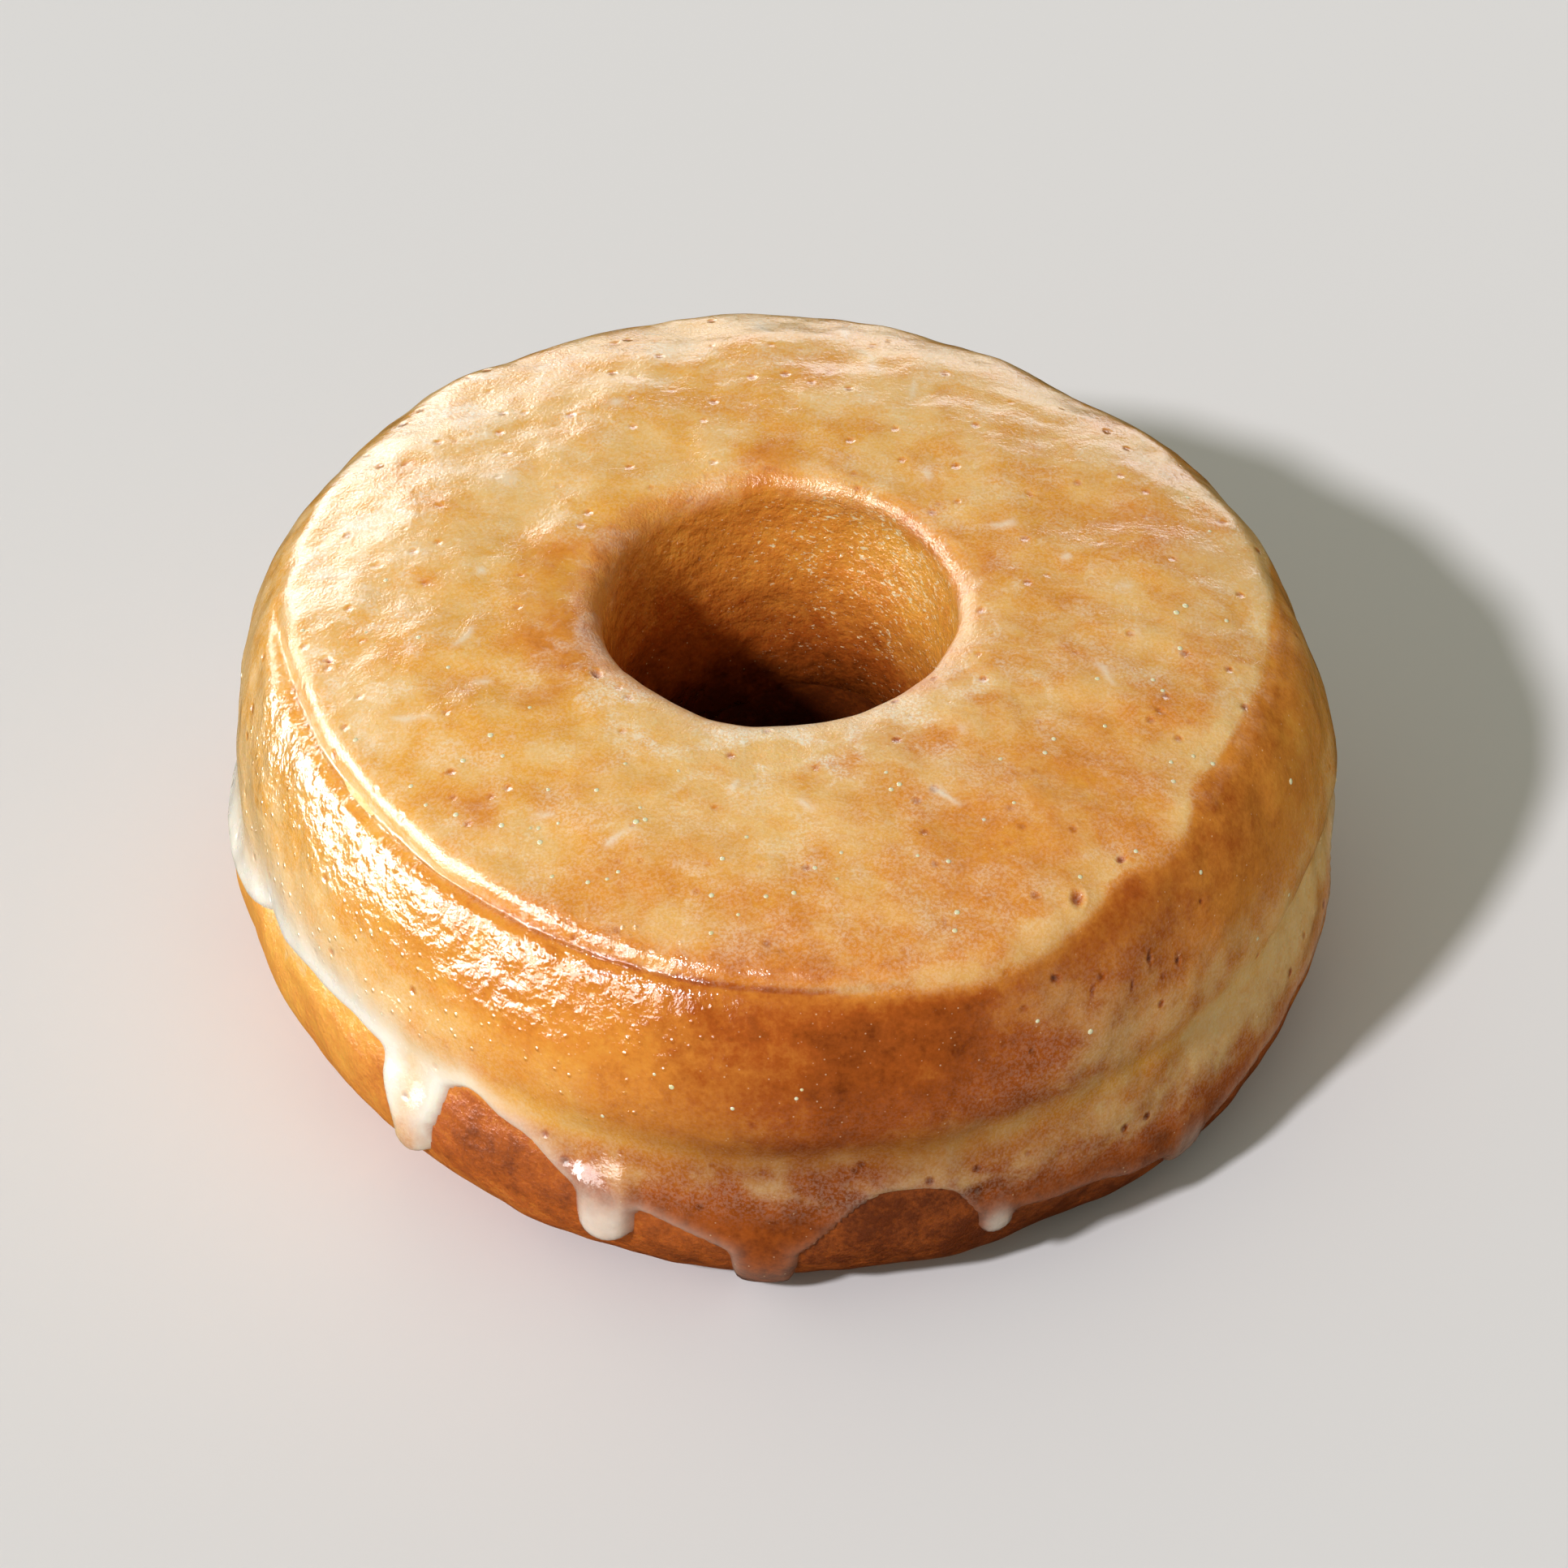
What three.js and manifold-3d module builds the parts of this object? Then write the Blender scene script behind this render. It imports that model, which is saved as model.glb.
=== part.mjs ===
import * as THREE from "three";
import { mergeVertices } from "three/addons/utils/BufferGeometryUtils.js";
import Module from "manifold-3d";

// A raised ring doughnut under a sugar glaze, in millimetres, standing on z = 0.
// +Z is up and the hole runs along it. Turns are in degrees, anticlockwise from +X
// seen from above, so the side with the drips of glaze faces -Y.

// Key points of the ring's section as [radius, height]: from the foot up the outer side,
// over the crown, down the hole and back along the underside.
const foot = [33.5, 0];
const heel = [39.8, 1];
const lowerTurn = [43.9, 3.6];
const lowerBulge = [45.6, 7.4];
const lowerSide = [45.8, 12];
const belt = [45.4, 16.5];
const upperSide = [45.4, 20.5];
const upperBulge = [44.7, 26];
const shoulder = [43.4, 30.4];
const creaseEdge = [42.3, 32.6];
const crease = [41.5, 33.6];
const ridge = [40.3, 34.7];
const crownEdge = [38.2, 35.5];
const crownOuter = [34.6, 36.5];
const crownMiddle = [29.2, 37.4];
const crownTop = [23.1, 37.9];
const rim = [18.4, 38.1];
const lip = [15.9, 37.2];
const throatTop = [14.6, 34];
const throat = [13.8, 27];
const throatLow = [13.6, 18];
const skirt = [14.5, 8.5];
const underLip = [17.6, 2.2];
const underFoot = [22.5, 0];

// The proof line round the side: how far its height sways and how deep it is pinched in.
const beltSway = { height: 1.3, crest: 330 };
const beltPinch = 0.3;
const beltFolds = [
  { turn: 273, width: 13, deep: 0.45 },
  { turn: 346, width: 11, deep: 0.5 },
  { turn: 95, width: 24, deep: 0.3 },
];

// The edge of the crown is a raised ridge with a crease outside it, along one stretch only.
const creaseFrom = 172;
const creaseTo = 290;
const creaseFade = 14;
const creaseDepth = 0.4;
const ridgeHeight = 0.35;
const ridgeOnCrown = 0.6;

// The outline isn't round: lobes [count round the ring, height, turn of a crest].
const lobes = [
  [2, 1.15, -41.5],
  [3, 0.5, 25],
  [4, 0.42, 2],
  [5, 0.18, 8.5],
];
const lobeInnerRadius = 24;
const lobeOuterRadius = 42;

// Local swells (by > 0) and flats (by < 0) of the side.
const swells = [
  { turn: 184, height: 12.5, width: 8, tall: 4, by: 0.55 },
  { turn: 0, height: 20, width: 10, tall: 5, by: 0.45 },
  { turn: 11, height: 28, width: 8, tall: 6, by: -0.6 },
  { turn: 34, height: 30, width: 12, tall: 7, by: 0.3 },
  { turn: 131, height: 33, width: 7, tall: 6, by: 0.35 },
  { turn: 165, height: 29, width: 8, tall: 5, by: 0.3 },
  { turn: 242, height: 4, width: 12, tall: 6, by: 0.35 },
  { turn: 284, height: 3, width: 9, tall: 6, by: -0.35 },
  { turn: 299, height: 4, width: 7.5, tall: 4.5, by: -0.9 },
  { turn: 318, height: 5, width: 14, tall: 7, by: 0.6 },
];

// The crown is a little higher on some turns than on others.
const crownWaves = [
  [1, 0.25, 120],
  [3, 0.15, 80],
];
const crownWaveFrom = 30;
const crownWaveFull = 37;

// The hole sits a little off the middle of the ring, and the ring is moved so that its box
// is centred on the origin.
const holeShift = [-0.1, 0.45];
const ringShift = [-0.1, 0.8];
const holeWave = [2, 0.25, 20];
const holeRadius = 13.6;

const turnSteps = 64;
const stepsPerKeyPoint = 3;

// Runs of glaze that hang down the side, each a drop laid over the dough: where it hangs,
// the height of its lower end, and its length, width and thickness.
const drips = [
  { turn: 226.6, low: 5.8, length: 12, width: 4.6, thick: 1.4 },
  { turn: 251.6, low: 6.4, length: 8.5, width: 5.6, thick: 1.7 },
  { turn: 268.2, low: 0.7, length: 14, width: 6.6, thick: 1.3 },
  { turn: 292.2, low: 7, length: 5, width: 3.4, thick: 0.9 },
  { turn: 316.5, low: 3.8, length: 6, width: 4.8, thick: 0.9 },
  { turn: 36, low: 5, length: 8, width: 5, thick: 1.2 },
  { turn: 72, low: 7.4, length: 7, width: 4.4, thick: 1.3 },
  { turn: 139, low: 4.6, length: 9, width: 5.8, thick: 1.4 },
];
const dripNeck = 0.5;
const dripBellyAt = 0.3;
const dripClosingAt = 0.75;
const dripSides = 14;
const dripSteps = 10;

const glazeColour = 0xdfa95f;
const glazeRoughness = 0.28;

// Difference between two turns, from -180 to 180 degrees.
function turnBetween(a, b) {
  return THREE.MathUtils.euclideanModulo(a - b + 180, 360) - 180;
}

// 1 at a stated turn, falling to 0 away from it.
function bump(turn, at, width) {
  return Math.exp(-((turnBetween(turn, at) / width) ** 2));
}

function waves(list, turn) {
  return list.reduce(
    (sum, [count, height, crest]) =>
      sum + height * Math.cos(THREE.MathUtils.degToRad(count * (turn - crest))),
    0,
  );
}

function creaseStrength(turn) {
  const rise = THREE.MathUtils.smoothstep(turn, creaseFrom, creaseFrom + creaseFade);
  const fall = THREE.MathUtils.smoothstep(turn, creaseTo - creaseFade, creaseTo);
  return rise * (1 - fall);
}

// The section's key points at one turn, as Vector3(radius, height, 0).
function keyPoints(turn) {
  const strength = creaseStrength(turn);
  const sway = waves([[1, beltSway.height, beltSway.crest]], turn);
  const pinch = beltFolds.reduce(
    (sum, fold) => sum + fold.deep * bump(turn, fold.turn, fold.width),
    beltPinch,
  );
  const points = [
    foot,
    heel,
    lowerTurn,
    lowerBulge,
    [lowerSide[0], lowerSide[1] + sway / 2],
    [belt[0] - pinch, belt[1] + sway],
    [upperSide[0], upperSide[1] + sway / 2],
    upperBulge,
    shoulder,
    creaseEdge,
    [crease[0] - creaseDepth * strength, crease[1] - creaseDepth * strength],
    [ridge[0], ridge[1] + ridgeHeight * strength],
    [crownEdge[0], crownEdge[1] + ridgeHeight * ridgeOnCrown * strength],
    crownOuter,
    crownMiddle,
    crownTop,
    rim,
    lip,
    throatTop,
    throat,
    throatLow,
    skirt,
    underLip,
    underFoot,
  ];
  return points.map(([radius, height]) => new THREE.Vector3(radius, height, 0));
}

// The section at one turn as a closed list of [radius, height], with the outline's lobes
// and swells in it. Heights under the foot are cut off flat.
function sectionAt(turn) {
  const curve = new THREE.CatmullRomCurve3(keyPoints(turn), true, "catmullrom", 0.5);
  const steps = curve.points.length * stepsPerKeyPoint;
  return curve
    .getPoints(steps)
    .slice(0, steps)
    .map((point) => {
      const outer = THREE.MathUtils.smoothstep(point.x, lobeInnerRadius, lobeOuterRadius);
      const swell = swells.reduce(
        (sum, s) =>
          sum +
          s.by *
            bump(turn, s.turn, s.width) *
            Math.exp(-(((point.y - s.height) / s.tall) ** 2)),
        waves(lobes, turn),
      );
      const inner = 1 - THREE.MathUtils.smoothstep(point.x, holeRadius, lobeInnerRadius);
      const raised = THREE.MathUtils.smoothstep(point.y, crownWaveFrom, crownWaveFull);
      const radius = point.x + outer * swell + inner * waves([holeWave], turn);
      const height = Math.max(0, point.y) + raised * waves(crownWaves, turn);
      return { radius, height, inner };
    });
}

// A place on or over the ring: the turn, and a place of its section.
function placed({ radius, height, inner }, turn) {
  const angle = THREE.MathUtils.degToRad(turn);
  return new THREE.Vector3(
    radius * Math.cos(angle) + holeShift[0] * inner + ringShift[0],
    radius * Math.sin(angle) + holeShift[1] * inner + ringShift[1],
    height,
  );
}

// A closed surface from rings of points, each ring joined to the next and the last to the
// first.
function surfaceOfRings(rings) {
  const around = rings[0].length;
  const positions = rings.flat().flatMap((p) => [p.x, p.y, p.z]);
  const faces = [];
  for (let i = 0; i < rings.length; i++) {
    const here = i * around;
    const next = ((i + 1) % rings.length) * around;
    for (let j = 0; j < around; j++) {
      const k = (j + 1) % around;
      faces.push(here + j, next + j, next + k);
      faces.push(here + j, next + k, here + k);
    }
  }
  const geometry = new THREE.BufferGeometry();
  geometry.setAttribute("position", new THREE.Float32BufferAttribute(positions, 3));
  geometry.setIndex(faces);
  return geometry;
}

function doughRing() {
  const rings = Array.from({ length: turnSteps }, (_, i) => {
    const turn = (i * 360) / turnSteps;
    return sectionAt(turn).map((point) => placed(point, turn));
  });
  return surfaceOfRings(rings);
}

// The outer side's radius at one turn and height.
function sideRadiusAt(turn, height) {
  const side = sectionAt(turn).filter((p) => p.radius > foot[0]);
  const at = side.findIndex((p) => p.height >= height);
  const [low, high] = [side[at - 1], side[at]];
  const share = (height - low.height) / (high.height - low.height);
  return THREE.MathUtils.lerp(low.radius, high.radius, share);
}

// A drop with a thin neck above and a round belly below, bent over the side of the ring.
function dripOfGlaze({ turn, low, length, width, thick }) {
  const outline = [new THREE.Vector2(0, 0)];
  for (let i = 1; i < dripSteps; i++) {
    const up = (i / dripSteps) ** 1.4;
    const belly = Math.sqrt(1 - (1 - Math.min(up / dripBellyAt, 1)) ** 2);
    const taper = THREE.MathUtils.smoothstep(up, dripBellyAt, 1);
    const across = belly * THREE.MathUtils.lerp(1, dripNeck, taper);
    const closing = 1 - THREE.MathUtils.smoothstep(up, dripClosingAt, 1);
    outline.push(new THREE.Vector2((across * closing * width) / 2, up * length));
  }
  outline.push(new THREE.Vector2(0, length));
  const drop = new THREE.LatheGeometry(outline, dripSides);
  const points = drop.getAttribute("position");
  const point = new THREE.Vector3();
  for (let i = 0; i < points.count; i++) {
    point.fromBufferAttribute(points, i);
    const height = low + point.y;
    const reach = sideRadiusAt(turn, height);
    const here = turn + THREE.MathUtils.radToDeg(point.x / reach);
    const depth = (point.z * thick) / (width / 2);
    const radius = sideRadiusAt(here, height) + depth;
    point.copy(placed({ radius, height, inner: 0 }, here));
    points.setXYZ(i, point.x, point.y, point.z);
  }
  return drop;
}

const wasm = await Module();
wasm.setup();

// A closed geometry as a manifold-3d solid.
function solidOf(geometry) {
  const bare = geometry.clone();
  bare.deleteAttribute("normal");
  bare.deleteAttribute("uv");
  const merged = mergeVertices(bare, 1e-4);
  return new wasm.Manifold(
    new wasm.Mesh({
      numProp: 3,
      vertProperties: merged.getAttribute("position").array,
      triVerts: new Uint32Array(merged.index.array),
    }),
  );
}

// A manifold-3d solid as a geometry.
function geometryOf(solid) {
  const mesh = solid.getMesh();
  const geometry = new THREE.BufferGeometry();
  geometry.setAttribute("position", new THREE.BufferAttribute(mesh.vertProperties, 3));
  geometry.setIndex(new THREE.BufferAttribute(mesh.triVerts, 1));
  geometry.computeVertexNormals();
  return geometry;
}

const glazed = drips.reduce(
  (ring, drip) => ring.add(solidOf(dripOfGlaze(drip))),
  solidOf(doughRing()),
);

const doughnut = new THREE.Mesh(
  geometryOf(glazed),
  new THREE.MeshStandardMaterial({
    color: glazeColour,
    roughness: glazeRoughness,
    metalness: 0,
  }),
);
doughnut.name = "doughnut";

const part = new THREE.Group();
part.name = "glazed_ring_doughnut";
part.add(doughnut);

export default part;
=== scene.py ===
import math
import random

import bmesh
import bpy
import numpy as np
from mathutils import Matrix, Vector


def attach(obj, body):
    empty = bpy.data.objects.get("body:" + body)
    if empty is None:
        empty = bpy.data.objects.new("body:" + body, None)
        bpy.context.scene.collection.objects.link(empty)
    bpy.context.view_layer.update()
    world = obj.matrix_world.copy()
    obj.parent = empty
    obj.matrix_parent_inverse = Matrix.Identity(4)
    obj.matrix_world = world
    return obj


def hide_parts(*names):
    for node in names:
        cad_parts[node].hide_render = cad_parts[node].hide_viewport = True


bl_info = {
    "name": "Glazed Ring Doughnut",
    "version": (1, 0, 0),
    "blender": (4, 5, 0),
    "location": "3D View > Sidebar > Doughnut",
    "description": "A raised ring doughnut with a sugar glaze, drips and bubbles, on a stage",
    "category": "Mesh",
}

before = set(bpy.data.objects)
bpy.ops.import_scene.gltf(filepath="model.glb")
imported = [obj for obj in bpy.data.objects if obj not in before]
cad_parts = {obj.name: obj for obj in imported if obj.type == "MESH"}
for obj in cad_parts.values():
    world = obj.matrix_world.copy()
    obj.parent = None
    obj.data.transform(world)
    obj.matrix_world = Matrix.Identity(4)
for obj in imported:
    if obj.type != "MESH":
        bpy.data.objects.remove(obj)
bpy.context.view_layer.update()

# All shape sizes below are in millimetres and all turns in degrees, anticlockwise from +X.
MM = 0.001

# Key points of the ring's section as (radius, height): from the foot up the outer side,
# over the crown, down the hole and back along the underside.
SECTION = np.array([
    (33.5, 0), (39.8, 1), (43.9, 3.6), (45.6, 7.4), (45.8, 12), (45.4, 16.5),
    (45.4, 20.5), (44.7, 26), (43.4, 30.4), (42.3, 32.6), (41.5, 33.6), (40.3, 34.7),
    (38.2, 35.5), (34.6, 36.5), (29.2, 37.4), (23.1, 37.9), (18.4, 38.1), (15.9, 37.2),
    (14.6, 34), (13.8, 27), (13.6, 18), (14.5, 8.5), (17.6, 2.2), (22.5, 0),
], float)
# Places along the section, 1 to a key point.
HEEL, LOWER_SIDE, BELT, UPPER_SIDE, SHOULDER = 1, 4, 5, 6, 8
CREASE, RIDGE, CROWN_EDGE, CROWN_TOP, RIM, LIP, SKIRT = 10, 11, 12, 15, 16, 17, 21
SECTION_OUTER, SECTION_HOLE, SECTION_TOP = 45.8, 13.6, 38.1

# Waves round the ring are given as count, height and the turn of a crest.
BELT_SWAY = (1, 1.3, 330)
BELT_PINCH = 0.3
# Folds of the proof line: turn, width in degrees and depth.
BELT_FOLDS = ((273, 13, 0.45), (346, 11, 0.5), (95, 24, 0.3))
# The crease at the left front: its turns, and where and by how much it grows shallower.
CREASE_FROM, CREASE_TO, CREASE_FADE = 172, 290, 14
CREASE_DEPTH, RIDGE_HEIGHT = 0.4, 0.35
SHALLOW_FROM, SHALLOW_TO, SHALLOWER = 230, 256, 0.7
# Waves of the outer side, and the radii between which they grow to their full height.
LOBES = ((2, 1.15, -41.5), (3, 0.5, 25), (4, 0.42, 2), (5, 0.18, 8.5))
LOBE_INNER, LOBE_OUTER = 24, 42
# Swells and flats of the side: turn, height, width in degrees, tallness, by how much.
SWELLS = (
    (184, 12.5, 8, 4, 0.55), (0, 20, 10, 5, 0.45), (11, 28, 8, 6, -0.6), (34, 30, 12, 7, 0.3),
    (131, 33, 7, 6, 0.35), (165, 29, 8, 5, 0.3), (242, 4, 12, 6, 0.35), (284, 3, 9, 6, -0.35),
    (299, 4, 7.5, 4.5, -0.9), (318, 5, 14, 7, 0.6),
)
# Waves of the crown, and the heights between which they grow to their full height.
CROWN_WAVES = ((1, 0.25, 120), (3, 0.15, 80))
CROWN_WAVE_FROM, CROWN_WAVE_FULL = 30, 37
# The hole's wave, and how far the hole and then the whole ring lie off the middle.
HOLE_WAVE = (2, 0.25, 20)
HOLE_SHIFT, RING_SHIFT = (-0.1, 0.45), (-0.1, 0.8)
# The lip that stands further into the hole: turn and width in degrees, then millimetres.
OVERHANG_AT, OVERHANG_WIDTH, OVERHANG = 58, 58, 1.2
# The height at which the glaze ends in the hole, and the waves of its edge there.
HOLE_GLAZE_END, HOLE_GLAZE_WAVES = 15, ((2, 1.2, 40), (5, 0.8, 10))
# Waves that add up to random clouds, and what their sum is divided by.
CLOUD_WAVES, CLOUD_SPREAD = 14, 5.3
# Extra glaze on the lip of the hole: its thickness, and middle and width in the section.
LIP_GLAZE, LIP_GLAZE_AT, LIP_GLAZE_WIDTH = 0.3, LIP + 0.15, 0.42
# How deep in the dough lie the glaze's edge past its end, its unseen inner sheet, and the
# dough's own surface under the glaze.
EDGE_SUNK, INNER_SUNK, DOUGH_SUNK = 0.6, 1.2, 0.45
# How high the dried streaks stand, and how far the glaze stays over the table.
STREAK_HEIGHT, GLAZE_CLEARANCE = 0.05, 0.02

# The lower edge of the glaze without its drips: turn and height.
GLAZE_EDGE = (
    (8, 13.4), (22, 11.8), (36, 9.6), (52, 12.4), (62, 13.8), (72, 11.6), (84, 13.4),
    (98, 14.2), (112, 15.2), (126, 12), (141, 10.2), (156, 13.2), (170, 13.6), (183, 12),
    (190, 12.4), (198, 14.7), (207, 15.2), (216, 14.8), (222, 15.3), (229, 14.2), (232, 14.9),
    (235, 16), (239, 15.2), (243, 14), (247, 12), (251, 10.6), (255, 11.2), (259, 9.6),
    (264, 8.2), (268, 8), (272, 8.6), (275, 10.6), (278, 12.8), (281, 14.2), (285, 14),
    (288, 12.8), (290, 10.6), (294, 9.2), (301, 8.8), (308, 7.2), (316, 6), (323, 7),
    (332, 8.6), (340, 9.3), (348, 10.2), (354, 12.6),
)
# Drips that hang from that edge: turn, height of the lower end, width of the bead, width
# of the neck above it, thickness, and how milky the bead is.
DRIPS = (
    (226.6, 5.8, 4.2, 7, 1.2, 0.17), (251.6, 6.4, 5, 5.2, 1.5, 0.55),
    (268.2, 0.2, 5.4, 5.6, 0.9, 0.12), (292.2, 7, 3, 2.6, 0.7, 0.5),
    (316.5, 3.8, 4.4, 4, 0.7, 0.2), (36, 5, 5, 3.8, 1, 0.5), (72, 7.4, 4.2, 3.4, 1.1, 0.7),
    (139, 4.6, 5.6, 4.4, 1.2, 0.8),
)

# Pits in the crown's glaze, by turn and radius, and on the side, by turn and height, each
# with its own radius and its depth as a share of that.
CROWN_PITS = (
    (188, 38, 0.42, 0.8), (213, 18, 0.58, 0.6), (306, 40, 0.72, 0.6), (314, 39.2, 0.45, 0.6),
    (19, 38.9, 0.54, 0.3), (171, 33.5, 0.51, 0.22), (130, 40, 0.41, 0.3),
    (113, 31.4, 0.48, 0.25), (116, 28.8, 0.41, 0.25), (112, 37.4, 0.58, 0.25),
    (149, 35.8, 0.58, 0.3), (142, 34, 0.41, 0.25), (157, 30.5, 0.48, 0.25),
    (175, 29.6, 0.48, 0.25), (33, 25, 0.48, 0.25), (21, 32.6, 0.41, 0.25),
    (16, 27.6, 0.41, 0.2), (216, 34.8, 0.24, 0.4), (173, 22, 0.41, 0.2),
    (338, 33.2, 0.48, 0.3), (43, 32, 0.27, 0.3), (55, 36, 0.34, 0.3), (71, 19, 0.31, 0.2),
    (246, 29.6, 0.34, 0.25), (203, 28, 0.31, 0.2), (186, 35, 0.37, 0.25),
    (290, 37.6, 0.31, 0.25), (100, 34, 0.34, 0.3), (82, 30, 0.34, 0.25), (60, 24, 0.27, 0.2),
)
SIDE_PITS = (
    (300, 30.8, 0.48, 0.45), (312, 28.2, 0.48, 0.45), (316, 26.3, 0.41, 0.45),
    (309, 27.2, 0.27, 0.4), (304, 28.4, 0.24, 0.4), (306, 24.3, 0.24, 0.4),
    (267, 21.8, 0.2, 0.4), (321, 29.4, 0.31, 0.4), (296, 25.6, 0.24, 0.4), (60, 27, 0.41, 0.4),
    (122, 25, 0.41, 0.4), (84, 22, 0.34, 0.4), (15, 24, 0.31, 0.4),
)
# Thin raised streaks of dried sugar on the crown: turn and radius of both ends, and width.
STREAKS = (
    (234, 31.4, 231, 33.6, 0.3), (247, 29.2, 243.2, 33, 0.3), (207, 31.8, 202, 35.6, 0.28),
    (203, 26, 200.5, 27.4, 0.3), (188, 25, 192.6, 28.4, 0.25), (170.5, 24.8, 172, 26, 0.5),
    (173, 34.4, 171.5, 38.6, 0.4), (163, 35, 162, 38, 0.4), (160, 31, 159, 34, 0.3),
    (145, 26.4, 148, 30, 0.4), (73, 30.4, 80.5, 35.4, 0.3), (80.5, 35.4, 82.6, 38.6, 0.35),
    (91, 35, 93.5, 38.2, 0.3), (48, 20.2, 54, 21.2, 0.3), (298, 25.4, 301, 28.6, 0.25),
    (272, 23.8, 277.6, 26, 0.3), (5, 27.4, 3, 29.4, 0.4), (12, 23.6, 14, 25, 0.35),
    (66, 28.4, 69, 31.2, 0.3), (344, 26.4, 340, 29.6, 0.3), (27, 20, 26, 22.4, 0.3),
    (120, 28, 118, 29.6, 0.4), (259.5, 23.8, 261, 22.2, 0.25), (316, 21.8, 311, 22.6, 0.3),
)
# Spots of the crown where the glaze is clear over browner dough: turn, radius, size in
# millimetres and how strong.
SPOTS = (
    (224, 35.6, 2.6, 0.75), (211, 22.6, 2, 0.8), (202, 29.4, 2.6, 0.4), (188, 32.6, 3, 0.25),
    (175, 29.4, 1.6, 0.4), (170, 33.6, 1.3, 0.4), (157, 30.6, 1.7, 0.35),
    (116, 18.8, 1.7, 0.3), (128, 20.8, 1.6, 0.35), (141, 27.6, 3, 0.3), (256, 30.5, 4.2, 0.4),
    (246, 34, 3.2, 0.3), (267, 34.5, 3.5, 0.35), (258, 21.4, 2.6, 0.25),
    (283, 20.6, 2.2, 0.75), (305, 20.4, 2.1, 0.5), (297, 28, 3, 0.25), (292, 34.2, 3.4, 0.4),
    (302, 33, 3, 0.3), (13, 18.2, 1.8, 0.45), (2, 23.6, 3, 0.35), (342, 25.4, 2, 0.4),
    (331, 29, 2.4, 0.35), (338, 33.2, 1.2, 0.4), (21, 30.5, 3, 0.3), (42, 31, 2.6, 0.25),
    (94, 17.4, 2.4, 0.6), (75, 18.4, 1.6, 0.3), (55, 23, 2.2, 0.2), (197, 22, 2.4, 0.3),
    (165, 20.6, 2.2, 0.3), (234, 27.4, 3.4, 0.25), (320, 33.2, 2.6, 0.3), (352, 35, 3.2, 0.25),
    (84, 31, 3, 0.25), (104, 26, 3, 0.2), (186, 19.5, 4.6, 0.7), (164, 20.5, 4, 0.5),
    (205, 19, 4, 0.6), (18, 33, 4.5, 0.35), (312, 31, 4.5, 0.35), (270, 38.5, 4, 0.3),
    (250, 38.5, 4, 0.2),
)

# How brown the fried dough is, 0 cream to 1 dark brown: height, then turn and tone. The front
# and right are browner partly as painted shade.
TONES = (
    (5, ((190, 0.4), (205, 0.45), (215, 0.52), (235, 0.7), (245, 0.78), (255, 0.84),
        (265, 0.88), (280, 0.97), (305, 1), (330, 0.9), (345, 0.75), (0, 0.65), (30, 0.55),
        (90, 0.5), (150, 0.42))),
    (12.5, ((190, 0.34), (205, 0.36), (215, 0.42), (228, 0.7), (235, 0.9), (250, 0.78),
        (260, 0.78), (270, 0.84), (280, 0.95), (288, 0.92), (296, 0.8), (310, 0.72),
        (330, 0.62), (345, 0.5), (0, 0.45), (60, 0.45), (120, 0.4), (160, 0.3))),
    (15.6, ((190, 0.2), (215, 0.24), (235, 0.78), (250, 0.58), (262, 0.66), (275, 0.78),
        (288, 0.64), (300, 0.54), (330, 0.36), (0, 0.32), (90, 0.3), (150, 0.25))),
    (17.6, ((185, 0.1), (230, 0.14), (245, 0.22), (255, 0.38), (262, 0.48), (272, 0.62),
        (280, 0.55), (290, 0.4), (300, 0.36), (310, 0.3), (340, 0.25), (0, 0.2), (90, 0.15))),
    (20.4, ((185, 0.14), (200, 0.16), (215, 0.22), (230, 0.34), (245, 0.44), (256, 0.5),
        (264, 0.62), (274, 0.74), (288, 0.72), (300, 0.68), (320, 0.57), (338, 0.47),
        (350, 0.4), (0, 0.34), (60, 0.3), (120, 0.25))),
    (26, ((185, 0.2), (200, 0.22), (215, 0.28), (230, 0.4), (245, 0.47), (256, 0.54),
        (264, 0.68), (274, 0.82), (288, 0.8), (300, 0.7), (315, 0.64), (335, 0.5), (350, 0.42),
        (0, 0.4), (60, 0.35), (120, 0.25))),
    (31, ((182, 0.22), (200, 0.26), (215, 0.32), (230, 0.44), (245, 0.5), (256, 0.58),
        (264, 0.72), (275, 0.86), (287, 0.84), (295, 0.72), (305, 0.68), (315, 0.66),
        (328, 0.6), (342, 0.54), (352, 0.48), (2, 0.44), (30, 0.38), (90, 0.3), (150, 0.22))),
    (34, ((182, 0.24), (225, 0.4), (245, 0.48), (262, 0.6), (278, 0.74), (290, 0.68),
        (300, 0.66), (309, 0.74), (314, 0.74), (318, 0.62), (325, 0.62), (350, 0.6), (2, 0.52),
        (12, 0.42), (30, 0.36), (90, 0.3), (150, 0.24))),
)
# Painted shade of the side that turns from the light, 0 to 1: height, then turn and share.
SHADES = (
    (5, ((240, 0), (255, 0), (270, 0.1), (310, 0.3), (330, 0.2), (350, 0.1), (10, 0))),
    (12, ((235, 0), (250, 0.2), (262, 0.35), (300, 0.45), (320, 0.3), (340, 0.1), (10, 0))),
    (18, ((235, 0), (250, 0.4), (262, 0.85), (285, 1), (300, 0.7), (330, 0.1), (345, 0),
        (10, 0))),
    (24, ((245, 0), (262, 0.3), (285, 0.4), (305, 0.25), (320, 0.1), (340, 0), (350, 0))),
    (31, ((252, 0), (265, 0.1), (280, 0.15), (300, 0.3), (315, 0.2), (325, 0), (345, 0))),
)
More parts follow.
